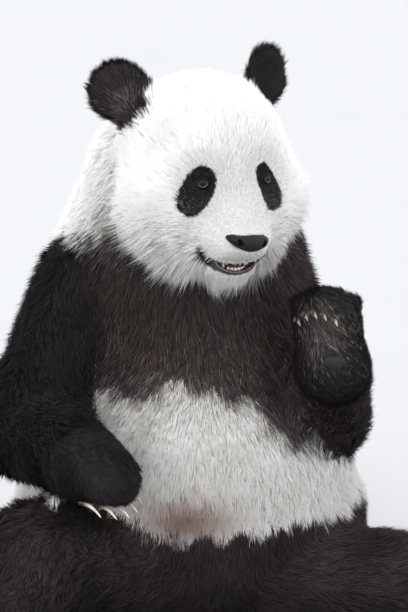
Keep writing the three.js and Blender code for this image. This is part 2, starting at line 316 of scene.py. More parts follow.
def lie_of(node):
    """The way that the hair lies on a solid, where it is one way for the whole solid."""
    region = region_of(node)
    side = node.rsplit("_", 1)[-1]
    following = {"upper_arm": "forearm", "forearm": "hand", "thigh": "shank", "shank": "foot"}
    for part, next_part in following.items():
        if node.startswith(part + "_"):
            return middle_of(f"{next_part}_{side}") - middle_of(node)
    if region in ("hand", "foot"):
        claws = [f"claw_{node}_{i}" for i in range(1, 6)]
        return middle_of(*claws) - middle_of(node)
    if region == "neck":
        return np.array((0, 0.3, -1))
    return np.array((0, 0, -1))


start_points = read(skin_mesh.vertices, "co", 3)
nearest = [flesh_tree.find_nearest(Vector(p))[2] for p in start_points.tolist()]
own_node = np.array(face_node)[nearest]
node_region = np.array([REGIONS.index(region_of(node)) for node in flesh_nodes])
shares = bleed(skin_mesh, np.eye(len(REGIONS))[node_region[own_node]], 12)
share_of = {region: shares[:, i] for i, region in enumerate(REGIONS)}
print({region: round(float(share.sum())) for region, share in share_of.items()})

NOSE_TIP = np.array((0, -0.185, -0.07))
EAR_ROOT = np.array((0.112, 0.035, 0.085))
lie = unit(np.array([lie_of(node) for node in flesh_nodes]))[own_node]
local = in_head(start_points)
on_head = share_of["head"] > 0.5
jowls = hill(distance(mirrored_x(local), (0.050, -0.118, -0.140)), 0, 0.034)
nape = smoothstep(-0.01, 0.06, local[:, 1])
away = unit(local - NOSE_TIP) + jowls[:, None] * (0, -0.1, -2.2) + nape[:, None] * (0, -0.3, -1.1)
lie[on_head] = unit(away @ HEAD_AXES.T)[on_head]
ear_roots = np.where(local[:, :1] > 0, EAR_ROOT, EAR_ROOT * (-1, 1, 1))
on_ear = share_of["ear"] > 0.4
lie[on_ear] = unit((local - ear_roots) @ HEAD_AXES.T)[on_ear]
lie = unit(bleed(skin_mesh, lie, 12))

# %% [markdown]
# The coat is deepest on the tail and the cheeks, and shallowest on the muzzle, the hands and the feet. Its
# depth is how far the skin lies inside the solids, whose surface is where the tips end.

# %% How deep the coat is
# region: (depth of the coat, length of a tuft), in metres
COAT = {
    "neck": (0.010, 0.022), "chest": (0.011, 0.028), "belly": (0.008, 0.020), "arm": (0.011, 0.028),
    "hand": (0.004, 0.011), "leg": (0.010, 0.028), "foot": (0.004, 0.012), "tail": (0.015, 0.036),
    "ear": (0.0050, 0.018), "head": (0, 0),
}
head_reach = distance(local, NOSE_TIP)
head_depth = np.interp(head_reach, (0.02, 0.06, 0.12, 0.2), (0.0012, 0.0026, 0.0045, 0.008))
cheek = smoothstep(0.075, 0.13, np.abs(local[:, 0])) * smoothstep(0.03, -0.05, local[:, 2])
chin = smoothstep(-0.128, -0.150, local[:, 2]) * smoothstep(0.0, -0.06, local[:, 1])
jaw_edge = smoothstep(-0.07, -0.12, local[:, 2]) * smoothstep(0.04, 0.075, np.abs(local[:, 0]))
head_depth += 0.006 * np.maximum(cheek, jaw_edge) + 0.005 * chin
depth = sum(share_of[region] * COAT[region][0] for region in REGIONS) + share_of["head"] * head_depth
depth *= smoothstep(0.95, 1.25, mouth_reach(local))
print("depth of the coat", depth.min().round(4), "to", depth.max().round(4))

# %% [markdown]
# Hair is longest where the animal looks shaggy: on the jowls, along the jaw and at the wrist. Above the lip
# and round the eyes it is short, or it would hide them. Stand is how much steeper than elsewhere the hair
# rises.

# %% How long the tufts are, and how far they stand out
tuft_length = sum(share_of[region] * COAT[region][1] for region in REGIONS)
tuft_length += share_of["head"] * (head_depth * 2.6 + np.maximum(0.0010 * chin, 0.007 * jaw_edge))
chin_sides = hill(distance(mirrored_x(local), (0.032, -0.128, -0.150)), 0, 0.026)
tuft_length += share_of["head"] * np.maximum(0.021 * jowls, 0.005 * chin_sides)
above_lip = local[:, 2] - lip_line(local[:, 0])
above_lip = above_lip * (np.abs(local[:, 0]) < 0.065) * (local[:, 1] < MOUTH_FRONT)
tuft_length *= np.where(above_lip > 0, np.interp(above_lip, (0, 0.012), (0.45, 1.0)), 1)
eye_gap = distance(mirrored_x(local), EYE)
tuft_length *= np.interp(eye_gap, (0.012, 0.030, 0.060), (0.30, 0.45, 1.0))
far_side = smoothstep(-0.02, 0.02, local[:, 0])
wrist = hill(distance(start_points, (0.135, -0.29, 0.545)), 0, 0.060)
tuft_length += 0.010 * wrist
stand = 1 + (0.25 + 0.55 * far_side) * np.maximum(cheek, jaw_edge) * (1 - chin) + 0.1 * chin
print("length of a tuft", tuft_length.min().round(4), "to", tuft_length.max().round(4))

# %% [markdown]
# The skin is smoothed first, which takes out the facets of the solids, and then drawn in by the coat's
# depth. It goes in a few small steps, because one large step would cross itself in the folds.

# %% Draw the skin in by the coat's depth
STEPS = 6
points = bleed(skin_mesh, start_points, 8)
for _ in range(STEPS):
    put_points(skin_mesh, points)
    inward = unit(bleed(skin_mesh, read(skin_mesh.vertices, "normal", 3), 2))
    points = points - inward * depth[:, None] / STEPS
    points = bleed(skin_mesh, points, 1)
points[:, 2] = np.maximum(points[:, 2], 0.001)
print("drew", len(points), "points in, in", STEPS, "steps")

# %% [markdown]
# The lids come next. In front of each eyeball the skin lies over it as lids do, a millimetre above it.
# Inside the almond of the open lids it drops behind the eyeball, and a crease runs round above and below.
# Lids of their own would be simpler to shape, but they would show a seam in the skin.

# %% Where the eyes look, and how the lids open
GAZE = unit(np.array((0.40, -0.90, 0.08)))
FORWARD = unit(np.array((0.10, -0.99, 0.04)))
LID_SIDE = unit(np.cross(FORWARD, (0.0, 0.0, 1.0)))
EYE_AXES = np.stack([LID_SIDE, np.cross(LID_SIDE, FORWARD), FORWARD], 1)
LOOK = GAZE @ EYE_AXES
LID_WIDTH, LID_HEIGHT, LID_TILT = 0.0078, 0.0056, math.radians(8)
LID_MIDDLE = LOOK[:2] * EYE_RADIUS * 0.9
LID_THICK, LID_SOFT = 0.0011, 0.0011
SOCKET = 0.022
print("the eyes look", GAZE.round(2), "in the head's frame")


def narrowing(along):
    """How much of its height the almond of the open lids keeps, from 1 in the middle down to its ends."""
    return 1 - 0.25 * np.abs(along / LID_WIDTH).clip(0, 1)


def lid_reach(out):
    """How far out a point lies in the almond of the open lids: 1 on its edge."""
    c, s = math.cos(LID_TILT), math.sin(LID_TILT)
    right, up = out[:, 0] - LID_MIDDLE[0], out[:, 1] - LID_MIDDLE[1]
    along, across = right * c + up * s, up * c - right * s
    return np.hypot(along / LID_WIDTH, across / (LID_HEIGHT * narrowing(along)))


def eyeball_height(out):
    """How far forward of its centre the eyeball's surface lies over a point."""
    return np.sqrt(np.maximum(EYE_RADIUS**2 - out[:, 0] ** 2 - out[:, 1] ** 2, 0))


# %% [markdown]
# Two soft folds come first: the lips meet in a shallow groove on both sides of the open mouth, and the skin
# under the nose is set back a little to make room for the leather. Then the lids are laid over the
# eyeballs.

# %% Close the lips, lay the lids
head_points = in_head(points)
lips_closed = hill(head_points[:, 2], lip_line(head_points[:, 0]), 0.0020)
lips_closed *= smoothstep(MOUTH_CORNER, MOUTH_CORNER - 0.004, np.abs(head_points[:, 0] - MOUTH[0]))
lips_closed *= smoothstep(0.9, 1.05, mouth_reach(head_points)) * (head_points[:, 1] < MOUTH_FRONT)
points -= (0.0028 * lips_closed)[:, None] * unit(bleed(skin_mesh, read(skin_mesh.vertices, "normal", 3), 2))
head_points = in_head(points)
sides = np.where(head_points[:, :1] < 0, (-1, 1, 1), (1, 1, 1))
out = (head_points * sides - EYE) @ EYE_AXES
spread = np.hypot(out[:, 0], out[:, 1])
near = (spread < 0.028) & (out[:, 2] > -0.014)
for side in (-1, 1):
    here = near & (sides[:, 0] == side)
    ring = here & (spread > SOCKET)
    level = np.stack([np.ones(len(out)), out[:, 0], out[:, 1]], 1)
    plane = level @ np.linalg.lstsq(level[ring], out[ring, 2], rcond=None)[0]
    flat = plane + (out[:, 2] - plane) * smoothstep(0.013, SOCKET, spread)
    out[:, 2] = np.where(here, flat, out[:, 2])
opening = lid_reach(out)
lid = np.where(spread < EYE_RADIUS, eyeball_height(out) + LID_THICK, -0.02)
closed = LID_SOFT * np.logaddexp(out[:, 2] / LID_SOFT, lid / LID_SOFT)
closed -= 0.0011 * hill(opening, 1.95, 0.22)
closed += 0.0005 * hill(opening, 1.15, 0.15)
sunk = eyeball_height(out) - 0.0035
out[:, 2] = np.where(near, closed + (sunk - closed) * smoothstep(1.03, 0.80, opening), out[:, 2])
head_points = (out @ EYE_AXES.T + EYE) * sides
under_leather = np.hypot((head_points[:, 0] - 0.003) / 0.036, (head_points[:, 2] + 0.0725) / 0.013)
head_points[:, 1] += 0.011 * smoothstep(1.0, 0.7, under_leather) * (head_points[:, 1] < -0.165)
moved = near | (under_leather < 1)
points[moved] = from_head(head_points)[moved]
put_points(skin_mesh, points)
print("lids shaped from", int(near.sum()), "points")

# %% [markdown]
# The skin is unwrapped by its own shape, in islands, because each tuft keeps its place on that map.

# %% Unwrap the skin
skin = new_object("skin", skin_mesh)
skin_mesh.polygons.foreach_set("use_smooth", np.ones(len(skin_mesh.polygons), bool))
skin_mesh.uv_layers.new(name="OFBake")
bpy.context.view_layer.objects.active = skin
skin.select_set(True)
bpy.ops.object.mode_set(mode="EDIT")
bpy.ops.mesh.select_all(action="SELECT")
bpy.ops.uv.smart_project(angle_limit=math.radians(66), island_margin=0.002)
bpy.ops.object.mode_set(mode="OBJECT")
print("unwrapped", len(skin_mesh.uv_layers["OFBake"].data), "corners")

# %% [markdown]
# Markings. A giant panda's ears, eye patches, limbs and the band over its shoulders are black. The skin and
# the coat share one set of masks, worked out from places on the body, so hair and skin always agree.

# %% The patches round the eyes
PATCH_LONG, PATCH_Z = 0.0425, -0.001
PATCH_DROOP = {"right": math.radians(25), "left": math.radians(20)}
PATCH_X = {"right": 0.070, "left": 0.062}
PATCH_WIDE = {"right": 0.0245, "left": 0.0190}


def waves(points, length, seed, count=7):
    """Smooth noise from -1 to 1: a sum of waves about as long as length, in directions of their own."""
    dice = np.random.default_rng(seed)
    total = np.zeros(len(points))
    for _ in range(count):
        way = unit(dice.normal(size=3)) * 2 * math.pi / (length * dice.uniform(0.6, 1.5))
        total += np.sin(points @ way + dice.uniform(0, 2 * math.pi))
    return total / math.sqrt(count)


def patch_reach(local):
    """How far out a point lies in the black patch round its eye: 0 in the middle, 1 on the rim."""
    left = local[:, 0] > 0
    side = np.abs(local[:, 0]) - np.where(left, PATCH_X["left"], PATCH_X["right"])
    up = local[:, 2] - PATCH_Z
    droop = np.where(left, PATCH_DROOP["left"], PATCH_DROOP["right"])
    c, s = np.cos(droop), np.sin(droop)
    across, along = side * c + up * s, side * s - up * c
    wide = np.where(left, PATCH_WIDE["left"], PATCH_WIDE["right"])
    wide = wide * (1 + np.where(across > 0, 0.30, -0.12) * along / PATCH_LONG)
    return (np.abs(across / wide) ** 2.6 + np.abs(along / PATCH_LONG) ** 2.6) ** (1 / 2.6)


def patch_mask(local):
    """1 in the patches round the eyes, with a narrow soft edge."""
    ragged = 0.03 * waves(local, 0.006, 5)
    return smoothstep(1.07, 0.97, patch_reach(local) + ragged) * (local[:, 1] < -0.06)


print("patches", PATCH_WIDE, "m half across")

# %% [markdown]
# The band lies over the shoulders like a shawl. Its upper border is told by how far one has gone round the
# neck, and its lower border by how far across the body, each as a short list of heights. Waves roughen
# both.

# %% The band over the shoulders
NECK_AXIS = np.array((-0.02, 0.03))
# the upper border: degrees round the neck from the front, and height in metres
BAND_TOP = ((40, 48, 56, 64, 76, 100, 180), (0.90, 0.76, 0.705, 0.690, 0.678, 0.655, 0.640))
# the lower border: metres across the body, and height in metres
BAND_BOTTOM = ((-0.25, -0.16, -0.08, 0.01, 0.07, 0.13, 0.3), (0.42, 0.432, 0.462, 0.442, 0.385, 0.34, 0.27))


def round_neck(points):
    """How many degrees a point lies round the neck's axis, from the front."""
    return np.degrees(np.abs(np.arctan2(points[:, 0] - NECK_AXIS[0], NECK_AXIS[1] - points[:, 1])))


def trunk_dark(points, wider=0.0):
    """1 where the trunk and the neck are black: a band over the shoulders, the chest, and the groin. Its
    lower border is made softer by wider, in metres."""
    x, y, z = points.T
    turn = round_neck(points)
    top = np.interp(turn, *BAND_TOP)
    bottom = np.interp(x, *BAND_BOTTOM)
    behind = smoothstep(-0.02, 0.08, y)
    bottom = bottom + (0.50 - bottom) * behind
    rough = 0.010 * waves(points, 0.05, 2)
    band = smoothstep(top + 0.040, top - 0.030, z + rough)
    band = band * smoothstep(bottom - 0.022 - wider, bottom + 0.020 + wider, z + rough)
    groin = smoothstep(0.216, 0.200, z + rough) * smoothstep(0.03, -0.03, y) * smoothstep(-0.16, -0.12, x)
    return np.maximum(band, groin)


def ragged_share(regions, rounds, rough):
    """The share of some regions at each point of the skin; its border is softer after more rounds."""
    own = np.array([region_of(node) in regions for node in flesh_nodes], float)[own_node]
    share = bleed(skin_mesh, own, rounds)[:, 0]
    return smoothstep(0.3, 0.7, share + rough * waves(start_points, 0.05, 1) * (1 - np.abs(2 * share - 1)))


print("the band's upper border", min(BAND_TOP[1]), "to", max(BAND_TOP[1]), "m high")

# %% [markdown]
# The limbs and the ears are black as far as their solids go, with a ragged border, and the band comes on
# top of that. The patches round the eyes are kept apart, as the tufts ask for them at their own places.

# %% The black markings
limbs = np.maximum(ragged_share(("ear", "arm", "hand"), 10, 0.22), ragged_share(("leg", "foot"), 22, 0.35))
trunk = share_of["neck"] + share_of["chest"] + share_of["belly"]
dark = np.maximum(limbs, trunk_dark(start_points) * smoothstep(0.02, 0.15, trunk))
local = in_head(points)
ear_foot = distance(mirrored_x(local), (0.118, 0.012, 0.090)) + 0.004 * waves(local, 0.02, 6)
dark = np.maximum(dark, smoothstep(0.036, 0.026, ear_foot))
skin_dark = np.maximum(dark, patch_mask(local) * (share_of["head"] > 0.5))
print("black share", dark.mean().round(3))

# %% [markdown]
# Hair isn't evenly clean. The stain mask is how far a hair is from its clean colour, so a white one is
# greyer and a black one browner. The bare mask is where thin hair lets pink skin through, low on the belly.
# A dirt texture over everything would be simpler, but dirt gathers in places: on the belly and the legs.
# The coat also greys towards the bottom of the head.

# %% Stain and bare skin
x, y, z = start_points.T
bare = blob(start_points, (-0.085, -0.23, 0.238), (0.080, 0.08, 0.038))
stain_of = {
    "neck": 0.0, "chest": 0.60, "belly": 0.68, "arm": 0.12, "hand": 0.20, "leg": 0.5, "foot": 0.5,
    "tail": 0.4, "ear": 0.3, "head": 0.03,
}
stain = sum(share_of[region] * stain_of[region] for region in REGIONS)
# greyer towards the bottom of the head
stain += 0.30 * smoothstep(-0.06, -0.12, local[:, 2]) * share_of["head"]
stain += 0.35 * share_of["arm"] * smoothstep(-0.05, 0.15, x)
stain += 0.40 * share_of["chest"] * smoothstep(0.56, 0.46, z)
stain -= 0.35 * smoothstep(0.05, 0.16, y) * share_of["belly"]
stain = (stain + 0.12 * waves(start_points, 0.08, 3)).clip(0, 1)
print("mean stain", stain.mean().round(3), "bare", int((bare > 0.5).sum()), "points")

# %% [markdown]
# The lower lip is a band of dark, bare skin with a moist rim at its upper edge, which is glossy and painted
# pale bluish as a highlight. In the corner of the mouth it is covered by short dark hair. The inside of the
# mouth gets a mask too, for its wet red.

# %% Lips and the inside of the mouth
# metres across from the middle, and how far down the dark of the lip reaches there
LIP_BAND = ((0, 0.028, 0.038, 0.052, 0.0585, 0.0625), (0.0075, 0.0095, 0.0150, 0.0150, 0.0100, 0.0))
mouth_at = mouth_reach(local)
in_mouth = smoothstep(1.06, 1.0, mouth_at) * share_of["head"]
lip_height = local[:, 2] - lip_line(local[:, 0])
lip_across = np.abs(local[:, 0] - MOUTH[0])
drop = MOUTH_SIZE[2] * np.sqrt((1 - (lip_across / MOUTH_SIZE[0]) ** 2).clip(0, 1))
below = -lip_height - drop
lip_band = np.interp(lip_across, *LIP_BAND) + 0.0008 * waves(local, 0.01, 4)
lower_lip = smoothstep(lip_band + 0.0008, lip_band - 0.0008, below) * smoothstep(-0.0020, -0.0005, below)
corner = lower_lip * (lip_across < 0.0620) * smoothstep(0.033, 0.040, lip_across)
lip = np.maximum(lower_lip * smoothstep(0.042, 0.036, lip_across), smoothstep(1.12, 1.06, mouth_at))
lip *= (local[:, 1] < MOUTH_FRONT) * share_of["head"]
corner *= (local[:, 1] < MOUTH_FRONT) * share_of["head"]
tuft_length *= 1 - 0.45 * corner
# the moist rim of the lower lip: smoother, and painted pale bluish as a highlight
wet_rim_and_highlight = smoothstep(0.0030, 0.0018, below) * (lip_across < 0.036) * lip * smoothstep(0.99, 1.02, mouth_at)
print("lip", int((lip > 0.5).sum()), "points")

# %% [markdown]
# Long hair shades itself and short hair doesn't, so with one white for both the muzzle would glare. The
# close mask is 1 where the coat is short, and the white is set a little darker there.

# %% Short coat
close = share_of["head"] * smoothstep(0.020, 0.008, tuft_length)
print("short coat", close.mean().round(3))

# %% [markdown]
# Some locks are grey among white ones: on the lower cheeks and the jaw, under the nose, where the neck
# meets the shoulder, and behind the ears. On the jaw and where the neck meets the shoulder they are partly
# painted shade: of the gaps between clumps, and of the groove under the cheek. A mask gives the share of
# such locks.

# %% Grey locks, partly painted shade
# painted sheen: the lower half of each eye patch gets paler tufts
patch_painted_sheen = 0.5 * patch_mask(local) * smoothstep(0.01, -0.03, local[:, 2])
# grey locks on the jaw: partly painted shade in the gaps between clumps
jaw_side = smoothstep(-0.035, -0.085, local[:, 2]) * smoothstep(0.045, 0.075, np.abs(local[:, 0]))
under_nose = blob(local, (-0.004, -0.180, -0.104), (0.030, 0.03, 0.012))
bridge = blob(local, (-0.012, -0.152, 0.004), (0.026, 0.03, 0.006))
grey_locks_and_shade = share_of["head"] * (0.34 * jaw_side + 0.9 * under_nose + 0.15 * bridge)
around_neck = round_neck(start_points)
neck_and_chest = share_of["neck"] + share_of["chest"]
# grey locks where the neck meets the shoulder: partly painted shade in the groove under the cheek
collar = np.interp(z, (0.69, 0.72, 0.76, 0.83), (0.95, 0.85, 0.45, 0.0)) * smoothstep(73, 59, around_neck)
grey_locks_and_shade += share_of["neck"] * collar
collar_pale = smoothstep(0.635, 0.69, z) * smoothstep(0.76, 0.72, z) * smoothstep(85, 60, around_neck)
pale_and_sheen = 0.45 * collar_pale * neck_and_chest
stain = np.maximum(stain, 0.9 * np.maximum(collar, collar_pale) * neck_and_chest)
ear_front = blob(mirrored_x(local), (0.128, 0.02, 0.100), (0.030, 0.03, 0.034)) * (local[:, 0] < 0)
stain = np.maximum(stain, 0.95 * ear_front * share_of["ear"])
pale_and_sheen = np.maximum(pale_and_sheen, np.maximum(0.30 * ear_front * share_of["ear"], patch_painted_sheen))
print("greyed_and_shaded", grey_locks_and_shade.mean().round(3), "pale_and_sheen", pale_and_sheen.mean().round(3))

# %% [markdown]
# Below the chest black and white hairs are mixed, so that the border is soft, and grey locks along a line
# over the belly are painted shade of a fold. On the wrist and the forearm single pale hairs stand among the
# black ones.

# %% Mixed hair on the belly, the wrist and the forearm
# painted shade: grey locks along a line where the belly fur folds
fold_shade = hill(z, np.interp(x, (-0.15, -0.125, -0.09), (0.430, 0.441, 0.438)), 0.0035)
fold_shade *= smoothstep(-0.165, -0.150, x) * smoothstep(-0.06, -0.09, x) * (y < 0) * share_of["belly"]
grey_locks_and_shade = np.maximum(grey_locks_and_shade, 0.8 * fold_shade)
mixed = 1 - np.abs(2 * trunk_dark(start_points, 0.05) - 1)
mixed *= (share_of["belly"] + share_of["chest"]) * smoothstep(0.28, 0.34, z) * smoothstep(0.62, 0.56, z)
grey_locks_and_shade = np.maximum(grey_locks_and_shade, 0.55 * mixed)
low_chest = share_of["chest"] * smoothstep(0.60, 0.50, z)
pale_and_sheen = np.maximum(pale_and_sheen, np.maximum(0.55 * mixed, 0.10 * low_chest))
stain = np.maximum(stain, np.maximum(mixed, 0.95 * low_chest))
fore = share_of["arm"] * smoothstep(0.02, 0.10, x) * smoothstep(0.52, 0.44, z)
pale_and_sheen = np.maximum(pale_and_sheen, np.maximum(0.45 * wrist, 0.07 * fore))
stain = np.maximum(stain, np.maximum(0.8 * wrist, 0.75 * fore))
print("mixed", mixed.mean().round(3), "pale_and_sheen", pale_and_sheen.mean().round(3))

# %% [markdown]
# # The coat
#
# A tuft is a thin three-sided spike of three triangles, closed but for its root in the skin. Tufts grow in
# locks: those of one lock lean together at their tips, as real hair does. Each tuft's shading normals are
# bent towards the skin's, so that light falls softly over the whole coat.

# %% What the tufts need to know about the skin
faces = skin_mesh.loop_triangles
corners = read(faces, "vertices", 3, np.int32)
corner_loops = read(faces, "loops", 3, np.int32)
skin_points = read(skin_mesh.vertices, "co", 3).astype(float)
skin_normals = unit(bleed(skin_mesh, read(skin_mesh.vertices, "normal", 3), 3))
skin_uv = read(skin_mesh.uv_layers["OFBake"].data, "uv", 2)
lie = unit(lie - skin_normals * (lie * skin_normals).sum(1, keepdims=True))
triangle = skin_points[corners]
area = np.linalg.norm(np.cross(triangle[:, 1] - triangle[:, 0], triangle[:, 2] - triangle[:, 0]), axis=1) / 2
bald = np.maximum(in_mouth, lip) > 0.5
eye_out = (mirrored_x(in_head(skin_points)) - EYE) @ EYE_AXES
in_eye_hole = (np.hypot(eye_out[:, 0], eye_out[:, 1]) < 0.02) & (eye_out[:, 2] > -0.01)
bald |= (lid_reach(eye_out) < 1.45) & in_eye_hole
skin_tree = BVHTree.FromPolygons(skin_points.tolist(), corners.tolist())
PAD_AT, PAD_BARE = np.array((0.149, -0.292, 0.509)), 0.015
bald |= distance(skin_points, PAD_AT) < PAD_BARE
print("skin area", area.sum().round(3), "bald", int(bald.sum()))

# %% [markdown]
# Blender can grow hair from a surface, but this coat has to be a plain mesh. So the tufts are worked out as
# long lists of numbers: first where they stand, then how they lie, and last the mesh.

# %% Helpers for tufts
TUFT_PATCH = 0.003  # how wide a tuft's patch is on the skin's map
SPIKE = np.array([[1, 0, 3], [2, 1, 3], [0, 2, 3]])


def scatter(dice, weight, spacing):
    """Random places on the skin: the triangle each lies on, and how near it is to the triangle's corners."""
    chosen = (weight[corners].mean(1) > 0.5) & ~bald[corners].any(1)
    count = (area / spacing**2 * chosen + dice.random(len(area))).astype(int) * chosen
    at = np.repeat(np.arange(len(count)), count)
    u, v = dice.random((2, len(at)))
    flip = u + v > 1
    u[flip], v[flip] = 1 - u[flip], 1 - v[flip]
    return at, np.stack([1 - u - v, u, v], 1)


def above_skin(tips, height):
    """Tips lifted to at least this height over the skin, so that none is buried where the skin is hollow."""
    found = [skin_tree.find_nearest(tip)[:2] for tip in tips.tolist()]
    place, normal = (np.array([pair[i] for pair in found]) for i in range(2))
    over = ((tips - place) * normal).sum(1)
    return tips + normal * np.maximum(height - over, 0)[:, None]


def paint(mesh, name, red, green=0.0, blue=0.0):
    """Gives a mesh's points a colour attribute, which carries up to three masks."""
    colors = np.ones((len(mesh.vertices), 4))
    for i, mask in enumerate((red, green, blue)):
        colors[:, i] = mask
    layer = mesh.color_attributes.new(name, "FLOAT_COLOR", "POINT")
    layer.data.foreach_set("color", colors.astype(np.float32).ravel())


def spike_mesh(name, points, shading, uv):
    """One mesh of many spikes, from the four points, the four shading normals and the map place of each."""
    n = len(points)
    mesh = bpy.data.meshes.new(name)
    mesh.vertices.add(n * 4)
    mesh.vertices.foreach_set("co", points.astype(np.float32).ravel())
    sides = (np.arange(n)[:, None, None] * 4 + SPIKE).reshape(-1)
    mesh.loops.add(n * 9)
    mesh.loops.foreach_set("vertex_index", sides.astype(np.int32))
    mesh.polygons.add(n * 3)
    mesh.polygons.foreach_set("loop_start", np.arange(n * 3, dtype=np.int32) * 3)
    mesh.polygons.foreach_set("use_smooth", np.ones(n * 3, bool))
    mesh.update(calc_edges=True)
    mesh.normals_split_custom_set_from_vertices(shading.reshape(-1, 3).astype(np.float32))
    patch_corners = np.array([[-1, -1], [1, -1], [0, 1], [0, 0]]) * TUFT_PATCH / 2
    place = (uv[:, None] + patch_corners).reshape(-1, 2)[sides]
    mesh.uv_layers.new(name="OFBake").data.foreach_set("uv", place.astype(np.float32).ravel())
    print(name, n, "tufts,", n * 3, "triangles")
    return mesh


# %% [markdown]
# A tuft is all white or all black but for a few. The mask of the markings says how likely black is, and
# dice decide, which makes a border of mixed hairs. Grey tufts, some of them painted shade, come out between
# white and black, and pale ones, some of them a painted sheen, lighter than black.

# %% How black the tufts are


def tuft_black(dice, of_skin, middles):
    """How black tufts are, given a way to ask for the skin's masks, and the places of their middles."""
    n = len(middles)
    in_patch = patch_mask(middles) * (of_skin(share_of["head"]) > 0.5)
    black = np.maximum(of_skin(np.maximum(dark, 0.85 * corner)), in_patch)
    black = black + (dice.random(n) - 0.5) * 1.5 * (1 - np.abs(2 * black - 1))
    greyed_and_shaded = (of_skin(grey_locks_and_shade) > dice.random(n)) * (0.42 + 0.2 * dice.random(n))
    black = smoothstep(0.25, 0.75, np.maximum(black, greyed_and_shaded))
    # paler tufts: real pale hairs, and painted sheen on the lower half of the eye patches
    paler_and_sheen = (of_skin(pale_and_sheen) > dice.random(n)) * (0.02 + 0.25 * dice.random(n) ** 2)
    return np.minimum(black, 1 - paler_and_sheen)


# %% [markdown]
# Tufts stand at random round the root of their lock, rise by the depth of the coat and lean over to the lie
# of the hair. Long hair on the head hangs. The dice are thrown in a fixed order from a seed, so each run is
# the same.

# %% Grow tufts
ROOT_SINK = 0.0008
ROOT_OVER_FLOOR, TIP_OVER_FLOOR = 0.0004, 0.0006
HANG_FROM, HANG_FULL = 0.028, 0.048  # lengths of hair


def grow(name, weight, spacing, tufts, seed, width=0.0019, gather=0.3, swing=0.2, uneven=0.14, longer=1.0):
    """A piece of the coat. weight says how much of each skin point belongs to it, spacing is the distance
    between locks, tufts the number in a lock, gather how far their tips lean together, swing how much the
    lie of locks differs, uneven how much their lengths differ, and longer multiplies the length."""
    dice = np.random.default_rng(seed)
    at, mix = scatter(dice, weight, spacing)

    def here(values):
        """Values at the locks' roots."""
        return np.einsum("ij,ij...->i...", mix, values[corners[at]])

    def each(values):
        """Values of the locks, repeated for each of their tufts."""
        return np.repeat(values, tufts, axis=0)

    def of_skin(values):
        """Values of the skin at the roots of the tufts' locks."""
        return each(here(values))

    root, normal, down = here(skin_points), unit(here(skin_normals)), unit(here(lie))
    turn = swing * (waves(root, 0.09, seed + 1) + dice.normal(size=len(at)))
    down = unit(down * np.cos(turn)[:, None] + np.cross(normal, down) * np.sin(turn)[:, None])
    lock_long = longer * here(tuft_length) * (1 + uneven * dice.normal(size=len(at))).clip(0.6, 1.35)
    uv = np.einsum("ij,ijk->ik", mix, skin_uv[corner_loops[at]])

    n = len(at) * tufts
    root, normal, down, uv = map(each, (root, normal, down, uv))
    side = np.cross(normal, down)
    long = each(lock_long) * (1 + 0.14 * dice.normal(size=n)).clip(0.5, 1.5)
    radius, around = spacing * 0.8 * np.sqrt(dice.random(n)), dice.random(n) * 2 * math.pi
    off = (np.cos(around) * radius)[:, None] * down + (np.sin(around) * radius)[:, None] * side
    lift = each(here(depth) * here(stand)) / long * (1 + 0.32 * dice.normal(size=n))
    lift = np.arcsin(np.clip(lift, 0.04, 0.9))
    way = np.cos(lift)[:, None] * down + np.sin(lift)[:, None] * normal
    hanging = 0.9 * smoothstep(HANG_FROM, HANG_FULL, long) * of_skin(share_of["head"])
    way = unit(way + side * (0.08 * dice.normal(size=n))[:, None] - hanging[:, None] * (0, 0, 1))
    foot = root + off - normal * ROOT_SINK
    tip = above_skin(foot + way * long[:, None] - off * gather, of_skin(depth) * 0.5)
    tip[:, 2] = np.maximum(tip[:, 2], TIP_OVER_FLOOR)
    foot[:, 2] = np.maximum(foot[:, 2], ROOT_OVER_FLOOR)

    across = unit(np.cross(way, normal))
    high = np.cross(across, way)
    thick = width * np.clip(long / 0.02, 0.60, 1.0) * (1 + 0.2 * dice.normal(size=n)).clip(0.5, 1.5)
    half, rise = across * thick[:, None] / 2, high * thick[:, None]
    points = np.stack([foot - half - rise * 0.15, foot + half - rise * 0.15, foot + rise * 0.35, tip], 1)
    short = of_skin(close)
    bend = (0.30 - 0.22 * short)[:, None]
    shading = [normal - across * bend, normal + across * bend, normal + high * bend, normal + way * 0.25]

    black = tuft_black(dice, of_skin, in_head(foot + way * long[:, None] * 0.6))
    stained = (of_skin(stain) + 0.16 * (dice.random(n) - 0.5)).clip(0, 1)
    mesh = spike_mesh(name, points, unit(np.stack(shading, 1)), uv)
    paint(mesh, "fur", np.repeat(black, 4), np.tile((0, 0, 0, 1), n), np.repeat(dice.random(n), 4))
    paint(mesh, "tint", np.repeat(stained, 4), np.repeat(of_skin(bare), 4), np.repeat(short, 4))
    return new_object(name, mesh)


# %% [markdown]
# The coat is grown in 14 pieces, because hair differs from place to place: fine and close on the muzzle,
# thick on the neck, in long loose locks along the jaw. One piece for all could have only one spacing and
# one width.

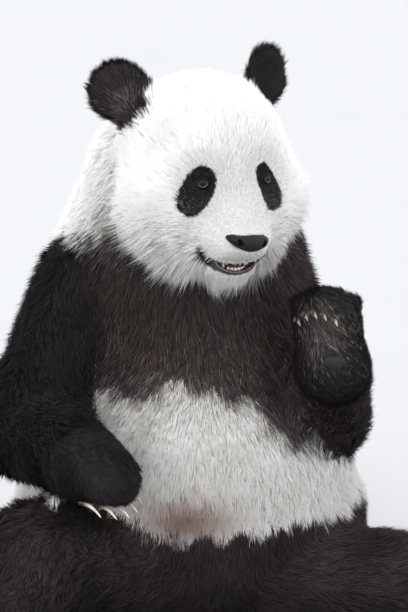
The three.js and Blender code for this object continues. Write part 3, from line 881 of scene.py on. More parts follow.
# %% Grow the coat, part by part
local = in_head(skin_points)
muzzle = share_of["head"] * (head_reach < 0.100)
face = share_of["head"] * (local[:, 1] < -0.055) * (head_reach >= 0.100)
crown = share_of["head"] * (local[:, 1] >= -0.055)
fringe = share_of["head"] * np.maximum(jaw_edge, chin) + 0.6 * cheek * share_of["head"]
front = skin_points[:, 1] < 0.02
coat = [
    grow("coat_muzzle", muzzle, 0.0033, 8, 24, width=0.0012, swing=0.08, uneven=0.08, gather=0.1),
    grow("coat_face", face, 0.0042, 9, 11, width=0.0015, swing=0.10, uneven=0.10, gather=0.15),
    grow("coat_crown", crown, 0.0058, 10, 12, swing=0.12),
    grow("coat_fringe", fringe, 0.0075, 6, 23, width=0.0012, gather=0.8, uneven=0.20, longer=1.45),
    grow("coat_ears", share_of["ear"], 0.0040, 9, 13, width=0.0014, gather=0.15, swing=0.10, uneven=0.10),
    grow("coat_neck", share_of["neck"], 0.0085, 14, 14, swing=0.10, gather=0.2),
    grow("coat_chest", share_of["chest"], 0.0085, 14, 15, swing=0.15, gather=0.25),
    grow("coat_belly", share_of["belly"] * front, 0.0073, 13, 16,
         width=0.0014, swing=0.12, gather=0.05, uneven=0.08),
    grow("coat_back", share_of["belly"] * ~front, 0.0098, 14, 17),
    grow("coat_arms", share_of["arm"], 0.0082, 13, 18, swing=0.15),
    grow("coat_hands", share_of["hand"], 0.0052, 9, 19, width=0.0016, swing=0.10),
    grow("coat_legs", share_of["leg"], 0.0094, 13, 20),
    grow("coat_feet", share_of["foot"], 0.0058, 9, 21, width=0.0016, swing=0.10),
    grow("coat_tail", share_of["tail"], 0.0085, 14, 22),
]
print("coat", sum(len(piece.data.polygons) for piece in coat), "triangles")

# %% [markdown]
# # Eyes, nose and mouth
#
# The eyeball is a fine sphere with a cornea that bulges a little over the iris. How far each point lies
# from the gaze is kept in an attribute, and the material paints pupil, iris and the brown rim from it. A
# texture could do the same, but the attribute needs no map. One eye is shaped, and the other is its mirror
# image.

# %% Eyeballs
CORNEA, CORNEA_RISE = 0.50, 0.0007


def twin_mesh(form, shape, name):
    """A mesh of a form, shaped and placed at the left eye, and its mirror image at the right one."""
    pattern = mesh_of(form, name)
    shaped = shape(read(pattern.vertices, "co", 3).astype(float)) @ EYE_AXES.T + EYE
    both = bmesh.new()
    for side in (1, -1):
        put_points(pattern, from_head(shaped * (side, 1, 1)))
        both.from_mesh(pattern)
    bmesh.ops.recalc_face_normals(both, faces=both.faces)
    return mesh_of(both, name)


def in_eye(mesh):
    """A mesh's points in the axes of the eye that they belong to."""
    return (mirrored_x(in_head(read(mesh.vertices, "co", 3))) - EYE) @ EYE_AXES


def eyeball(ball):
    """Swells a ball's front into a cornea."""
    angle = np.arccos((ball @ LOOK / EYE_RADIUS).clip(-1, 1))
    return ball * (1 + CORNEA_RISE / EYE_RADIUS * smoothstep(CORNEA, 0, angle))[:, None]


form = bmesh.new()
bmesh.ops.create_uvsphere(form, u_segments=48, v_segments=40, radius=EYE_RADIUS)
eyes_mesh = twin_mesh(form, eyeball, "eyes")
angle = np.arccos((unit(in_eye(eyes_mesh)) @ LOOK).clip(-1, 1))
paint(eyes_mesh, "gaze", angle / math.pi)
eyes = new_object("eyes", eyes_mesh)
print("eyes", len(eyes_mesh.polygons), "faces")

# %% [markdown]
# A moist rim runs round the open lids. It is a small circle, spun into a thin ring, which is then pulled to
# the lids' almond and laid on the eyeball. A bevelled curve would do too, but it couldn't follow the ball
# so simply.

# %% Lid rims
RIM_RADIUS, RIM_OUT = 0.00075, 0.0003


def almond(ring):
    """Pulls a round ring to the edge of the lids, on the eyeball."""
    flat = np.hypot(ring[:, 0], ring[:, 1])
    c, s = math.cos(LID_TILT), math.sin(LID_TILT)
    along, across = ring[:, 0], ring[:, 1] * LID_HEIGHT / LID_WIDTH
    across = across * narrowing(along)
    turned = np.stack([along * c - across * s, along * s + across * c, ring[:, 2]], 1)
    turned[:, :2] += LID_MIDDLE
    turned[:, 2] += eyeball_height(turned) + RIM_OUT
    return turned


form = bmesh.new()
upright = Matrix.Rotation(math.pi / 2, 4, "X")
section = bmesh.ops.create_circle(form, segments=10, radius=RIM_RADIUS, matrix=upright)
bmesh.ops.translate(form, verts=section["verts"], vec=(LID_WIDTH, 0, 0))
edges = list({edge for vert in section["verts"] for edge in vert.link_edges})
bmesh.ops.spin(form, geom=section["verts"] + edges, cent=(0, 0, 0), axis=(0, 0, 1), dvec=(0, 0, 0),
               angle=math.tau, steps=64, use_merge=True, use_duplicate=False)
lids_mesh = twin_mesh(form, almond, "lid_rims")
out = in_eye(lids_mesh)
# the lower half of the lids' rim, which is painted pale as a highlight
lower_rim_highlight = smoothstep(0.001, -0.003, out[:, 1] - LID_MIDDLE[1] - 0.2 * out[:, 0])
paint(lids_mesh, "gaze", lower_rim_highlight)
lid_rims = new_object("lid_rims", lids_mesh)
print("lid rims", len(lids_mesh.polygons), "faces")

# %% [markdown]
# The nose is a pad of bare leather, nearly straight along its top, with a wing at each side and a blunt
# point below. It starts as a ball, whose outline is pressed to that shape from the front. The nostrils are
# commas, cut by pushing points inwards near a curve, and a groove runs down the middle.

# %% Outline of the nose, and its nostrils
NOSE = np.array((0.0030, -0.188, -0.0715))
NOSE_WIDE, NOSE_UP, NOSE_DOWN, NOSE_LONG = 0.0385, 0.0110, 0.0165, 0.0200
NOSE_ROLL = math.radians(6)


def outline_of_nose(x, z):
    """Presses a unit ball's front outline to the nose's: flat above, pointed below, full at the wings."""
    reach = np.maximum(np.hypot(x, z), 1e-6)
    square = (np.abs(x / reach) ** 2.6 + np.abs(z / reach) ** 2.6) ** (-1 / 2.6)
    x, z = x * square, z * square
    low = np.where(z < 0, NOSE_DOWN * (1 - 0.38 * np.abs(x) ** 1.5), NOSE_UP * (1 - 0.22 * np.abs(x) ** 2))
    wide = NOSE_WIDE * np.where(z < 0, 1 - 0.16 * z**2, 1.0)
    return x * wide, z * low + 0.0012 * np.abs(x) ** 2


def nostril_depth(x, z):
    """How deep the nostrils are: a round hole near the middle, which runs out into a slit at the side."""
    x = np.abs(x)
    lean = (x - 0.0215) * 0.8 - (z + 0.0005) * 0.6
    up = (x - 0.0215) * 0.6 + (z + 0.0005) * 0.8
    hole = np.exp(-((np.abs(lean) / 0.0030) ** 3) - ((np.abs(up) / 0.0055) ** 3))
    course = -0.0040 + 0.0030 * smoothstep(0.022, 0.036, x)
    slit = hill(z, course, 0.0014) * smoothstep(0.015, 0.019, x) * smoothstep(0.037, 0.030, x)
    return 0.0085 * hole + 0.0035 * slit


# %% [markdown]
# The front half of the ball gets the outline, the wings and the groove, and the nostrils are pushed in. How
# deep a point lies in them is kept as a mask, which paints shade in them: black where they are deep.

# %% Shape the nose
nose_mesh, ball = new_ball("nose_leather", subdivisions=6)
x, z = outline_of_nose(ball[:, 0], ball[:, 2])
bulge = np.sign(ball[:, 1]) * np.abs(ball[:, 1]) ** 0.8
y = bulge * NOSE_LONG + 0.009 * (x / NOSE_WIDE) ** 2 + 0.20 * (z - 0.004)
in_front = smoothstep(0.25, -0.15, ball[:, 1])
wings = 0.0020 * np.exp(-(((np.abs(x) - 0.026) / 0.008) ** 2 + ((z + 0.001) / 0.006) ** 2))
y += (nostril_depth(x, z) - wings + 0.0014 * hill(x, 0, 0.0013) * (z < 0.004)) * in_front
nose_roll = np.array(Matrix.Rotation(NOSE_ROLL, 3, "Y"))
put_points(nose_mesh, from_head(np.stack([x, y, z], 1) @ nose_roll.T + NOSE))
# painted shade: a mask of how deep each point lies in the nostrils
paint(nose_mesh, "nostril_shade", (nostril_depth(x, z) * in_front / 0.008).clip(0, 1))
nose = new_object("nose_leather", nose_mesh)
print("nose", [round(v, 3) for v in np.ptp(read(nose_mesh.vertices, "co", 3), axis=0).tolist()])

# %% [markdown]
# In the mouth the lower teeth stand in an arch: small incisors in front and a canine at each side of them,
# with their roots in a ridge of gum. Each tooth is one ball, squared to a crown and drawn in towards its
# tip.

# %% Teeth
ARCH_WIDE, ARCH_LONG, ARCH_BACK = 0.0235, 0.022, -0.1430
GUM_Z = -0.1290
TOOTH_ROOT = 0.0025


def on_arch(turn):
    """A place on the arch of the teeth; turn 0 is in front, and one unit is a quarter turn."""
    t = turn * math.pi / 2
    x, y = ARCH_WIDE * math.sin(t) - 0.001, ARCH_BACK - ARCH_LONG * math.cos(t)
    return np.array((x, y, GUM_Z + 0.004 * turn**2))


tooth, crown_ball = new_ball("tooth_pattern", u_segments=16, v_segments=12)
full = (1 - np.abs(crown_ball[:, 2]) ** 3.5).clip(0, 1) ** (1 / 3.5)
crown_ball[:, :2] = unit(crown_ball[:, :2]) * full[:, None]
teeth_form = bmesh.new()
# (place on the arch, half its width, half its depth, height, how pointed)
lower_teeth = [(side * t, 0.0030, 0.0019, 0.0066, 0.12) for side in (-1, 1) for t in (0.085, 0.25, 0.42)]
lower_teeth += [(side * 0.68, 0.0040, 0.0040, 0.0140, 0.55) for side in (-1, 1)]
lower_teeth += [(side * t, 0.0042, 0.0030, 0.0058, 0.25) for side in (-1, 1) for t in (0.96, 1.18)]
for turn, wide, deep, height, point in lower_teeth:
    up = (crown_ball[:, 2] + 1) / 2
    size = (1 - point * up)[:, None]
    shape = np.hstack([crown_ball[:, :2] * (wide, deep) * size, (up * height)[:, None]])
    lean = Matrix.Rotation(turn * math.pi / 2, 3, "Z") @ Matrix.Rotation(math.radians(9 * turn), 3, "Y")
    put_points(tooth, from_head(shape @ np.array(lean).T + on_arch(turn) - (0, 0, TOOTH_ROOT)))
    teeth_form.from_mesh(tooth)
teeth = new_object("teeth", mesh_of(teeth_form, "teeth"))
print("teeth", len(lower_teeth))

# %% [markdown]
# The gum is a ball drawn out along the arch of the teeth, and the tongue is a flat one with a groove, whose
# front bends down. The solid tongue could be used as it is, but it is plainer than what the open mouth
# shows.

# %% Gum and tongue
gum_mesh, ball = new_ball("gum", u_segments=48, v_segments=24)
arch = np.stack([on_arch(1.5 * t) for t in ball[:, 0]])
ring = np.stack([ball[:, 0] * ball[:, 1], ball[:, 1], ball[:, 2]], 1)
put_points(gum_mesh, from_head(arch + ring * (0.0045, 0.0045, 0.0035) - (0, -0.0015, 0.0030)))
gum = new_object("gum", gum_mesh)

tongue_mesh, ball = new_ball("tongue_flesh", subdivisions=5)
groove = 0.0022 * hill(ball[:, 0], 0, 0.18) * smoothstep(0, 0.5, ball[:, 2])
shape = ball * (0.0165, 0.0260, 0.0055)
shape[:, 2] -= groove + 0.006 * ball[:, 1].clip(-1, 0) ** 2
put_points(tongue_mesh, from_head(shape + (-0.001, -0.139, -0.1235)))
tongue = new_object("tongue_flesh", tongue_mesh)
print("gum", len(gum_mesh.polygons), "faces, tongue", len(tongue_mesh.polygons), "faces")

# %% [markdown]
# # Claws and pads
#
# A claw is a cone, cut into rings and bent, thicker than it is wide. It stands where its solid does, and
# its root goes on into the flesh. The tip points away from the middle of the paw, but on the curled fist it
# points down.

# %% The pattern of a claw
CLAW_RINGS, CLAW_BEND, CLAW_ROOT = 9, 0.13, 0.008
CLAW_WIDE, CLAW_THICK = 0.64, 0.88
CLAW_END = 0.06  # the cone's end radius, its root's being 1

form = bmesh.new()
bmesh.ops.create_cone(form, cap_ends=True, segments=14, radius1=1, radius2=CLAW_END, depth=1)
lengthwise = [e for e in form.edges if abs(e.verts[0].co.z - e.verts[1].co.z) > 0.5]
bmesh.ops.subdivide_edges(form, edges=lengthwise, cuts=CLAW_RINGS)
pattern = mesh_of(form, "claw_pattern")
cone = read(pattern.vertices, "co", 3).astype(float)
cone_along = cone[:, 2] + 0.5
cone_size = (1 - cone_along).clip(0, 1) ** 0.45 / (1 - 0.94 * cone_along)
print("claw pattern", len(cone), "points")

# %% [markdown]
# Each solid claw says where its own one goes: its longest way gives the length, and the spread round that
# way the thickness. The pattern is bent and laid along it, so that twenty claws come from one shape.

# %% Claws


def claw(name):
    """Bends the pattern into the claw that stands for one of the solids."""
    shell = read(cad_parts[name].data.vertices, "co", 3).astype(float)
    middle = shell.mean(axis=0)
    along = np.linalg.svd(shell - middle)[2][0]
    reach = (shell - middle) @ along
    spread = np.linalg.norm(shell - middle - reach[:, None] * along, axis=1)
    paw = name.rsplit("_", 1)[0].removeprefix("claw_")
    points_to = np.array((0.0, 0.0, -1.0)) if paw == "hand_left" else middle - middle_of(paw)
    if along @ points_to > 0:
        along, reach = -along, -reach
    tip = middle + along * reach.min()
    length, thick = np.ptp(reach) + CLAW_ROOT, spread.max()
    outward = unit(np.array((0.0, 0.0, 1.0)) - along * along[2])
    side = np.cross(outward, along)
    t = cone_along[:, None]
    bend = CLAW_BEND * length * (0.9 * np.sin(math.pi * t) - 0.25 * t * t)
    x = cone[:, :1] * thick * CLAW_WIDE * cone_size[:, None]
    y = cone[:, 1:2] * thick * CLAW_THICK * cone_size[:, None]
    put_points(pattern, tip + along * length * (1 - t) + side * x + outward * (y + bend))


claws_form = bmesh.new()
claw_nodes = [node for node in sorted(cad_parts) if node.startswith("claw_")]
for node in claw_nodes:
    claw(node)
    claws_form.from_mesh(pattern)
bmesh.ops.recalc_face_normals(claws_form, faces=claws_form.faces)
claws_mesh = mesh_of(claws_form, "claws")
paint(claws_mesh, "tipward", np.tile(cone_along, len(claw_nodes)))
claws = new_object("claws", claws_mesh)
print("claws", len(claw_nodes))

# %% [markdown]
# Pads are bare leather cushions: a round one at the raised wrist, and on each sole one broad pad behind a
# row of five toe pads. Each is a ball pressed flat, which is laid on the skin where a line from outside
# meets it.

# %% Pads
WRIST_PAD = (0.0180, 0.0150, 0.0080)
SOLE_PAD, TOE_PAD = (0.036, 0.017), (0.010, 0.012)
SOLE_THICK, TOE_GAP = 0.0060, 0.0205
pads_form = bmesh.new()


def lay_pad(start, aim, wide, tall, thick, up=(0.0, 0.0, 1.0)):
    """Lays a pad on the skin, where the line from start to aim first meets it."""
    way = Vector(unit(np.array(aim, float) - start))
    at, normal, _, _ = skin_tree.ray_cast(Vector(start), way)
    if at is None:
        print("no skin for a pad at", aim)
        return
    side = normal.cross(Vector(up)).normalized()
    axes = Matrix((side, side.cross(normal), normal)).transposed().to_4x4()
    ball = bmesh.ops.create_icosphere(pads_form, subdivisions=4, radius=1)
    for vert in ball["verts"]:
        x, y, z = vert.co
        dent = 0.25 * math.exp(-((x / 0.5) ** 2)) * max(y, 0)
        vert.co = (x * wide, y * tall - dent * tall, z * thick * (1 - 0.25 * (x * x + y * y)))
    bmesh.ops.transform(pads_form, matrix=Matrix.Translation(at) @ axes, verts=ball["verts"])


lay_pad((0.052, -0.65, 0.606), PAD_AT, *WRIST_PAD)

# (the ankle, the way the toes point, the way the back of the foot points)
SOLES = (
    ((-0.468, -0.408, 0.059), (-0.36, -0.3, 0.9), (0.5, 0.75, 0.44)),
    ((0.560, -0.312, 0.058), (0.26, -0.06, 1.0), (-0.92, 0.38, 0.2)),
)
for ankle, toes, back_way in SOLES:
    toes = unit(np.array(toes))
    back_way = unit(np.array(back_way) - toes * (np.array(back_way) @ toes))
    across_foot = np.cross(back_way, toes)
    rows = [(0, 0.088, SOLE_PAD)] + [(i, 0.141 - 0.003 * i * i, TOE_PAD) for i in (-2, -1, 0, 1, 2)]
    for row, reach, size in rows:
        spot = np.array(ankle) + toes * reach + across_foot * row * TOE_GAP
        lay_pad(spot - back_way * 0.2, spot, *size, SOLE_THICK, tuple(toes))
pads = new_object("pads", mesh_of(pads_form, "pads"))
print("pads", len(pads.data.polygons), "faces")

# %% [markdown]
# # Materials
#
# Two effects are shared by several materials, so each is a node group that is built once. One turns the
# coat's masks into the colour of a hair. The other is fine leather grain, as a height for a bump.

# %% Helpers for nodes


def new_material(name, roughness, specular=0.5):
    """A material, its node tree and its Principled shader."""
    material = bpy.data.materials.new(name)
    material.use_nodes = True
    shader = material.node_tree.nodes["Principled BSDF"]
    shader.inputs["Roughness"].default_value = roughness
    shader.inputs["Specular IOR Level"].default_value = specular
    return material, material.node_tree, shader


def feed(tree, socket, value):
    """Gives an input a link when the value is a socket, and a plain value when it isn't."""
    if isinstance(value, bpy.types.NodeSocket):
        tree.links.new(value, socket)
    elif isinstance(value, tuple) and socket.type == "RGBA":
        socket.default_value = (*value, 1)
    else:
        socket.default_value = value


def give_color(tree, shader, color):
    """Links a colour to a shader's Base Color."""
    tree.links.new(color, shader.inputs["Base Color"])


def mix_colors(tree, factor, a, b):
    """A node that mixes two colours; each of its inputs is a socket or a value."""
    node = tree.nodes.new("ShaderNodeMix")
    node.data_type = "RGBA"
    for key, value in (("Factor", factor), ("A", a), ("B", b)):
        feed(tree, node.inputs[key], value)
    return node.outputs["Result"]


def split_attribute(tree, name):
    """The red, green and blue masks of a colour attribute."""
    read_node = tree.nodes.new("ShaderNodeVertexColor")
    read_node.layer_name = name
    split = tree.nodes.new("ShaderNodeSeparateColor")
    tree.links.new(read_node.outputs["Color"], split.inputs["Color"])
    return split.outputs["Red"], split.outputs["Green"], split.outputs["Blue"]


def scaled(tree, color, factor):
    """A colour made brighter or darker by a factor, which is a socket or a number."""
    node = tree.nodes.new("ShaderNodeVectorMath")
    node.operation = "SCALE"
    tree.links.new(color, node.inputs[0])
    feed(tree, node.inputs["Scale"], factor)
    return node.outputs["Vector"]


def remap(tree, value, **limits):
    """A value moved from one range to another; the limits are From and To, Min and Max."""
    node = tree.nodes.new("ShaderNodeMapRange")
    tree.links.new(value, node.inputs["Value"])
    for key, limit in limits.items():
        node.inputs[key.replace("_", " ")].default_value = limit
    return node.outputs["Result"]


def noise_of(tree, scale, detail=3.0, stretch=None):
    """Noise on the piece's Object coordinates."""
    place = tree.nodes.new("ShaderNodeTexCoord").outputs["Object"]
    if stretch:
        mapping = tree.nodes.new("ShaderNodeMapping")
        mapping.inputs["Scale"].default_value = stretch
        tree.links.new(place, mapping.inputs["Vector"])
        place = mapping.outputs["Vector"]
    node = tree.nodes.new("ShaderNodeTexNoise")
    node.inputs["Scale"].default_value = scale
    node.inputs["Detail"].default_value = detail
    tree.links.new(place, node.inputs["Vector"])
    return node.outputs["Fac"]


def add_bump(tree, shader, height, rise):
    """A bump under a shader's Normal, which rises by so many metres."""
    node = tree.nodes.new("ShaderNodeBump")
    node.inputs["Distance"].default_value = rise
    node.inputs["Strength"].default_value = 1.0
    tree.links.new(height, node.inputs["Height"])
    tree.links.new(node.outputs["Normal"], shader.inputs["Normal"])


# %% [markdown]
# A node group is like a function of nodes: it has named inputs and outputs, and each material that places
# it can feed them with numbers or with links.

# %% Helpers for node groups


def new_group(name, inputs, outputs):
    """An empty node group with named inputs and outputs, and its two end nodes."""
    group = bpy.data.node_groups.new(name, "ShaderNodeTree")
    for socket, kind in inputs:
        group.interface.new_socket(socket, in_out="INPUT", socket_type=kind)
    for socket, kind in outputs:
        group.interface.new_socket(socket, in_out="OUTPUT", socket_type=kind)
    return group, group.nodes.new("NodeGroupInput"), group.nodes.new("NodeGroupOutput")


def place_group(tree, group, **values):
    """A group's node in a material, with values or links for its inputs."""
    node = tree.nodes.new("ShaderNodeGroup")
    node.node_tree = group
    for key, value in values.items():
        feed(tree, node.inputs[key], value)
    return node


# %% [markdown]
# A hair is white or black, and each of the two goes from clean to stained. Shade is a number of the tuft's
# own, so neighbours differ a little. Along is 0 at the root and 1 at the tip: roots are dimmer, as light
# reaches them less.

# %% Group: the colour of a hair
COLOR, VALUE = "NodeSocketColor", "NodeSocketFloat"
hair_masks = [(key, VALUE) for key in ("Black", "Along", "Shade", "Stain", "Bare", "Close")]
hair_color, taken, given = new_group("hair colour", hair_masks, [("Color", COLOR)])
inside = taken.outputs
clean = mix_colors(hair_color, inside["Shade"], (0.92, 0.915, 0.905), (0.975, 0.975, 0.97))
short_white = mix_colors(hair_color, inside["Shade"], (0.77, 0.765, 0.76), (0.81, 0.805, 0.80))
clean = mix_colors(hair_color, inside["Close"], clean, short_white)
grey = mix_colors(hair_color, inside["Shade"], (0.54, 0.515, 0.48), (0.76, 0.735, 0.69))
white = mix_colors(hair_color, inside["Stain"], clean, grey)
white = mix_colors(hair_color, inside["Bare"], white, (0.23, 0.145, 0.12))
jet = mix_colors(hair_color, inside["Shade"], (0.0014, 0.0013, 0.0020), (0.0135, 0.0125, 0.0165))
brown = mix_colors(hair_color, inside["Shade"], (0.012, 0.0085, 0.0078), (0.075, 0.056, 0.051))
black = mix_colors(hair_color, inside["Stain"], jet, brown)
hair = mix_colors(hair_color, inside["Black"], white, black)
root_dim = remap(hair_color, inside["Along"], From_Max=0.6, To_Min=0.80)
hair_color.links.new(scaled(hair_color, hair, root_dim), given.inputs["Color"])
print("group", hair_color.name, "with", len(hair_color.nodes), "nodes")

# %% [markdown]
# Nose, pads and skin have the same grain in different sizes: small rounded cells, which a smooth Voronoi
# texture gives as a height, and a slow noise for where they are worn paler.

# %% Group: leather grain
grain, taken, given = new_group("leather grain", [("Scale", VALUE)], [("Height", VALUE), ("Worn", VALUE)])
cells = grain.nodes.new("ShaderNodeTexVoronoi")
cells.feature = "SMOOTH_F1"
place = grain.nodes.new("ShaderNodeTexCoord").outputs["Object"]
grain.links.new(place, cells.inputs["Vector"])
grain.links.new(taken.outputs["Scale"], cells.inputs["Scale"])
wear = grain.nodes.new("ShaderNodeTexNoise")
wear.inputs["Scale"].default_value = 90
grain.links.new(place, wear.inputs["Vector"])
grain.links.new(cells.outputs["Distance"], given.inputs["Height"])
grain.links.new(wear.outputs["Fac"], given.inputs["Worn"])
print("group", grain.name, "with", len(grain.nodes), "nodes")

# %% [markdown]
# The coat is lit as a dull surface, with hardly any shine: so many hairs point so many ways that no
# highlight forms. Its masks lie on the points of the tufts, and the group turns them into a colour.

# %% Coat material
fur_material, tree, shader = new_material("fur", 0.62, 0.12)
black, along, shade = split_attribute(tree, "fur")
masks = dict(zip(("Stain", "Bare", "Close"), split_attribute(tree, "tint")))
hair = place_group(tree, hair_color, Black=black, Along=along, Shade=shade, **masks)
give_color(tree, shader, hair.outputs["Color"])
print("material", fur_material.name)

# %% [markdown]
# The skin takes the coat's own colours with painted shade: darker, as it lies in the shade of the coat, so
# that a gap between tufts doesn't show. Only at the lips and in the mouth does it look like skin: dark and
# dry, with a wet rim whose pale bluish colour is a painted highlight, and red inside.

# %% Skin material
skin_material, tree, shader = new_material("skin", 0.55, 0.14)
black, _, _ = split_attribute(tree, "fur")
masks = dict(zip(("Stain", "Bare", "Close"), split_attribute(tree, "tint")))
wet, lip_mask, moist_rim_highlight = split_attribute(tree, "mouth")
tree.links.new(remap(tree, moist_rim_highlight, To_Min=0.60, To_Max=0.22), shader.inputs["Roughness"])
speckle = noise_of(tree, 260, 4)
# painted shade: Along 0 dims the coat's colours as at a hair's root, in the shade of the coat
hair = place_group(tree, hair_color, Black=black, Along=0.0, Shade=speckle, **masks)
lip_color = mix_colors(tree, speckle, (0.012, 0.009, 0.010), (0.085, 0.066, 0.066))
mouth_color = mix_colors(tree, speckle, (0.040, 0.008, 0.008), (0.13, 0.035, 0.034))
# painted shade: the colours are darkened further, as the skin lies under the coat
colored = mix_colors(tree, lip_mask, scaled(tree, hair.outputs["Color"], 0.72), lip_color)
# painted highlight: the moist rim of the lower lip is painted pale bluish
colored = mix_colors(tree, moist_rim_highlight, colored, (0.17, 0.17, 0.25))
colored = mix_colors(tree, wet, colored, mouth_color)
give_color(tree, shader, colored)
leather = place_group(tree, grain, Scale=420.0)
add_bump(tree, shader, leather.outputs["Height"], 0.0006)
paint(skin_mesh, "fur", np.maximum(skin_dark, corner))
paint(skin_mesh, "tint", stain, bare, close)
paint(skin_mesh, "mouth", in_mouth, lip, wet_rim_and_highlight)
print("material", skin_material.name, "with", len(skin_mesh.color_attributes), "sets of masks")

# %% [markdown]
# Nose and pads are the same leather. The nose is nearly black and a little shiny, with painted shade that
# makes the nostrils black, and the pads are drier and coarser.

# %% Nose and pad materials
nose_material, tree, shader = new_material("nose_leather", 0.46, 0.16)
leather = place_group(tree, grain, Scale=620.0)
nostril_shade, _, _ = split_attribute(tree, "nostril_shade")
surface = mix_colors(tree, leather.outputs["Worn"], (0.0030, 0.0027, 0.0035), (0.0130, 0.0115, 0.0135))
# painted shade: the nostrils are black the deeper they go
give_color(tree, shader, mix_colors(tree, nostril_shade, surface, (0.002, 0.002, 0.002)))
add_bump(tree, shader, leather.outputs["Height"], 0.0007)

pad_material, tree, shader = new_material("pad_leather", 0.5, 0.22)
leather = place_group(tree, grain, Scale=380.0)
surface = mix_colors(tree, leather.outputs["Worn"], (0.004, 0.0042, 0.004), (0.018, 0.018, 0.016))
give_color(tree, shader, surface)
add_bump(tree, shader, leather.outputs["Height"], 0.0010)
print("materials", nose_material.name, pad_material.name)

# %% [markdown]
# The eye is one smooth, wet surface. A ramp over the angle from the gaze paints the black pupil, the dark
# brown iris with its darker edge, and the brown rim. The lids' rim is dark, and moist along its lower half,
# where it is painted pale as a highlight.

# %% Eye and lid materials
eye_material, tree, shader = new_material("wet_eye", 0.08, 0.18)
angle, _, _ = split_attribute(tree, "gaze")
ramp = tree.nodes.new("ShaderNodeValToRGB")
stops = [(0.0, (0.001, 0.001, 0.001)), (0.058, (0.001, 0.001, 0.001)), (0.068, (0.009, 0.0055, 0.004)),
         (0.118, (0.006, 0.004, 0.003)), (0.136, (0.002, 0.002, 0.002)), (0.165, (0.022, 0.016, 0.015)),
         (0.30, (0.05, 0.038, 0.035))]
for i, (at, color) in enumerate(stops):
    stop = ramp.color_ramp.elements[i] if i < 2 else ramp.color_ramp.elements.new(at)
    stop.position, stop.color = at, (*color, 1)
tree.links.new(angle, ramp.inputs["Fac"])
flecks = remap(tree, noise_of(tree, 700, 2), From_Min=0.45, From_Max=0.75, To_Max=0.25)
give_color(tree, shader, mix_colors(tree, flecks, ramp.outputs["Color"], (0.010, 0.006, 0.004)))

lid_material, tree, shader = new_material("lid_rim", 0.25, 0.5)
lower_rim_highlight, _, _ = split_attribute(tree, "gaze")
dark_rim = mix_colors(tree, noise_of(tree, 500), (0.008, 0.006, 0.007), (0.05, 0.040, 0.042))
# painted highlight: the lower half of the lids' rim is pale
give_color(tree, shader, mix_colors(tree, lower_rim_highlight, dark_rim, (0.20, 0.19, 0.23)))
print("materials", eye_material.name, lid_material.name)

# %% [markdown]
# Horn is pale with streaks along it, and dark at the root where it leaves the skin. Teeth are a warm,
# patchy white. The gums and the tongue are one wet, blotched red.

# %% Claw, tooth and gum materials
horn_material, tree, shader = new_material("claw_horn", 0.35, 0.5)
streaks = noise_of(tree, 160, 4, (1.0, 1.0, 0.25))
horn = mix_colors(tree, streaks, (0.36, 0.28, 0.20), (0.80, 0.75, 0.66))
tipward, _, _ = split_attribute(tree, "tipward")
rise = remap(tree, tipward, From_Min=0.20, From_Max=0.52)
give_color(tree, shader, mix_colors(tree, rise, (0.022, 0.017, 0.015), horn))
add_bump(tree, shader, streaks, 0.0004)

tooth_material, tree, shader = new_material("tooth", 0.3, 0.5)
give_color(tree, shader, mix_colors(tree, noise_of(tree, 220, 3), (0.55, 0.46, 0.35), (0.86, 0.81, 0.70)))

gum_material, tree, shader = new_material("gums", 0.28, 0.5)
patches = noise_of(tree, 180, 4)
give_color(tree, shader, mix_colors(tree, patches, (0.060, 0.022, 0.024), (0.24, 0.10, 0.095)))
add_bump(tree, shader, noise_of(tree, 900, 2), 0.0005)
print("materials", horn_material.name, tooth_material.name, gum_material.name)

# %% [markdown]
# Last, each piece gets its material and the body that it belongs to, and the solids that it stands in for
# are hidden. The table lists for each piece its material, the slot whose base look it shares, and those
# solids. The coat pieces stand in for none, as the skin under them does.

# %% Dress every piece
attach(skin, "root")
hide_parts(*flesh_nodes)
skin_mesh.materials.append(skin_material)
for piece in coat:
    piece.data.materials.append(fur_material)
    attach(piece, "root")
dressed = [
    (eyes, eye_material, "wet_eye", ("eye_left", "eye_right")),
    (lid_rims, lid_material, "nose_leather", ()),
    (nose, nose_material, "nose_leather", ("nose",)),
    (teeth, tooth_material, "claw_horn", ()),
    (gum, gum_material, "gums", ()),
    (tongue, gum_material, "gums", ("tongue",)),
    (claws, horn_material, "claw_horn", tuple(claw_nodes)),
    (pads, pad_material, "nose_leather", ()),
]
for piece, material, slot, nodes in dressed:
    piece.data.materials.append(material)
    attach(piece, "root")
    if nodes:
        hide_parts(*nodes)
print("pieces", 1 + len(coat) + len(dressed))

# %% [markdown]
# # Floor, light and camera
#
# The floor is a plain pale sheet. The light is that of a bright, overcast day, when most of it comes from
# the sky. A single lamp would be simpler, but it would leave one side of the fur in the dark.

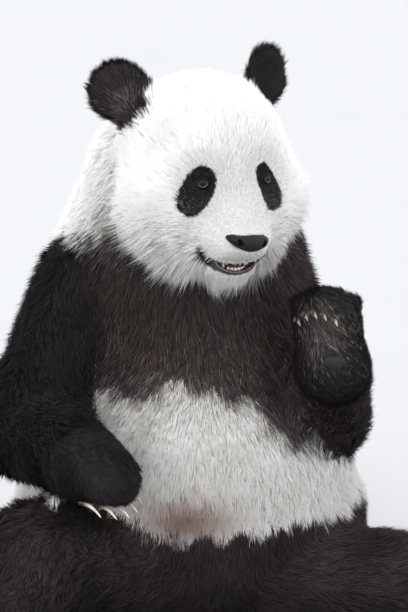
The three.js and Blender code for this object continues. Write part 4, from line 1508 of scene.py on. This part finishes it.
# %% Floor and sky
bpy.context.scene.view_settings.view_transform = "Standard"
form = bmesh.new()
bmesh.ops.create_grid(form, x_segments=1, y_segments=1, size=30)
floor = new_object("floor", mesh_of(form, "floor"))
floor_material, tree, shader = new_material("floor", 0.95, 0.1)
give_color(tree, shader, mix_colors(tree, noise_of(tree, 3.0), (0.47, 0.475, 0.48), (0.50, 0.505, 0.51)))
floor.data.materials.append(floor_material)

world = bpy.data.worlds.new("studio")
world.use_nodes = True
world.node_tree.nodes["Background"].inputs["Color"].default_value = (0.96, 0.975, 1.0, 1)
world.node_tree.nodes["Background"].inputs["Strength"].default_value = 1.42
bpy.context.scene.world = world
print("sky", world.name)

# %% [markdown]
# Five suns help the sky. Four are soft: the key light from above and in front, one from each side, and one
# from behind for the rims. The fifth is small, and gives the eyes their glint.

# %% Suns


def look_along(made, way):
    """Turns a lamp or a camera to look along a way."""
    made.rotation_mode = "QUATERNION"
    made.rotation_quaternion = Vector(way).to_track_quat("-Z", "Y")


def add_sun(name, way, power, softness, color):
    """A sun that shines along a way, with soft shadows."""
    lamp = bpy.data.lights.new(name, "SUN")
    lamp.energy, lamp.angle, lamp.color = power, math.radians(softness), color
    look_along(new_object(name, lamp), way)


add_sun("key", (0.40, 0.75, -1.15), 0.70, 40, (1.0, 0.99, 0.97))
add_sun("left_fill", (0.95, 0.40, -0.15), 1.0, 70, (1.0, 0.99, 0.98))
add_sun("right_fill", (-0.9, 0.6, -0.30), 1.0, 60, (0.97, 0.98, 1.0))
add_sun("behind", (-0.1, -0.8, -0.9), 0.45, 60, (1.0, 0.99, 0.98))
add_sun("glint", (0.35, 0.93, -0.60), 0.25, 6, (1.0, 1.0, 1.0))
print("suns", len(bpy.data.lights))

# %% [markdown]
# The camera stands six metres off, a little to the animal's right and somewhat above it, with a long lens.

# %% Camera
AZIMUTH, ELEVATION, DISTANCE = math.radians(-15), math.radians(15), 6.0
AIM = Vector((0.007, 0, 0.538))
level = math.cos(ELEVATION)
back = Vector((math.sin(AZIMUTH) * level, -math.cos(AZIMUTH) * level, math.sin(ELEVATION)))
lens_data = bpy.data.cameras.new("camera")
lens_data.sensor_width, lens_data.lens = 36, 207.6
camera = new_object("camera", lens_data)
camera.location = AIM + back * DISTANCE
look_along(camera, -back)
bpy.context.scene.camera = camera
print("camera at", [round(v, 3) for v in camera.location])
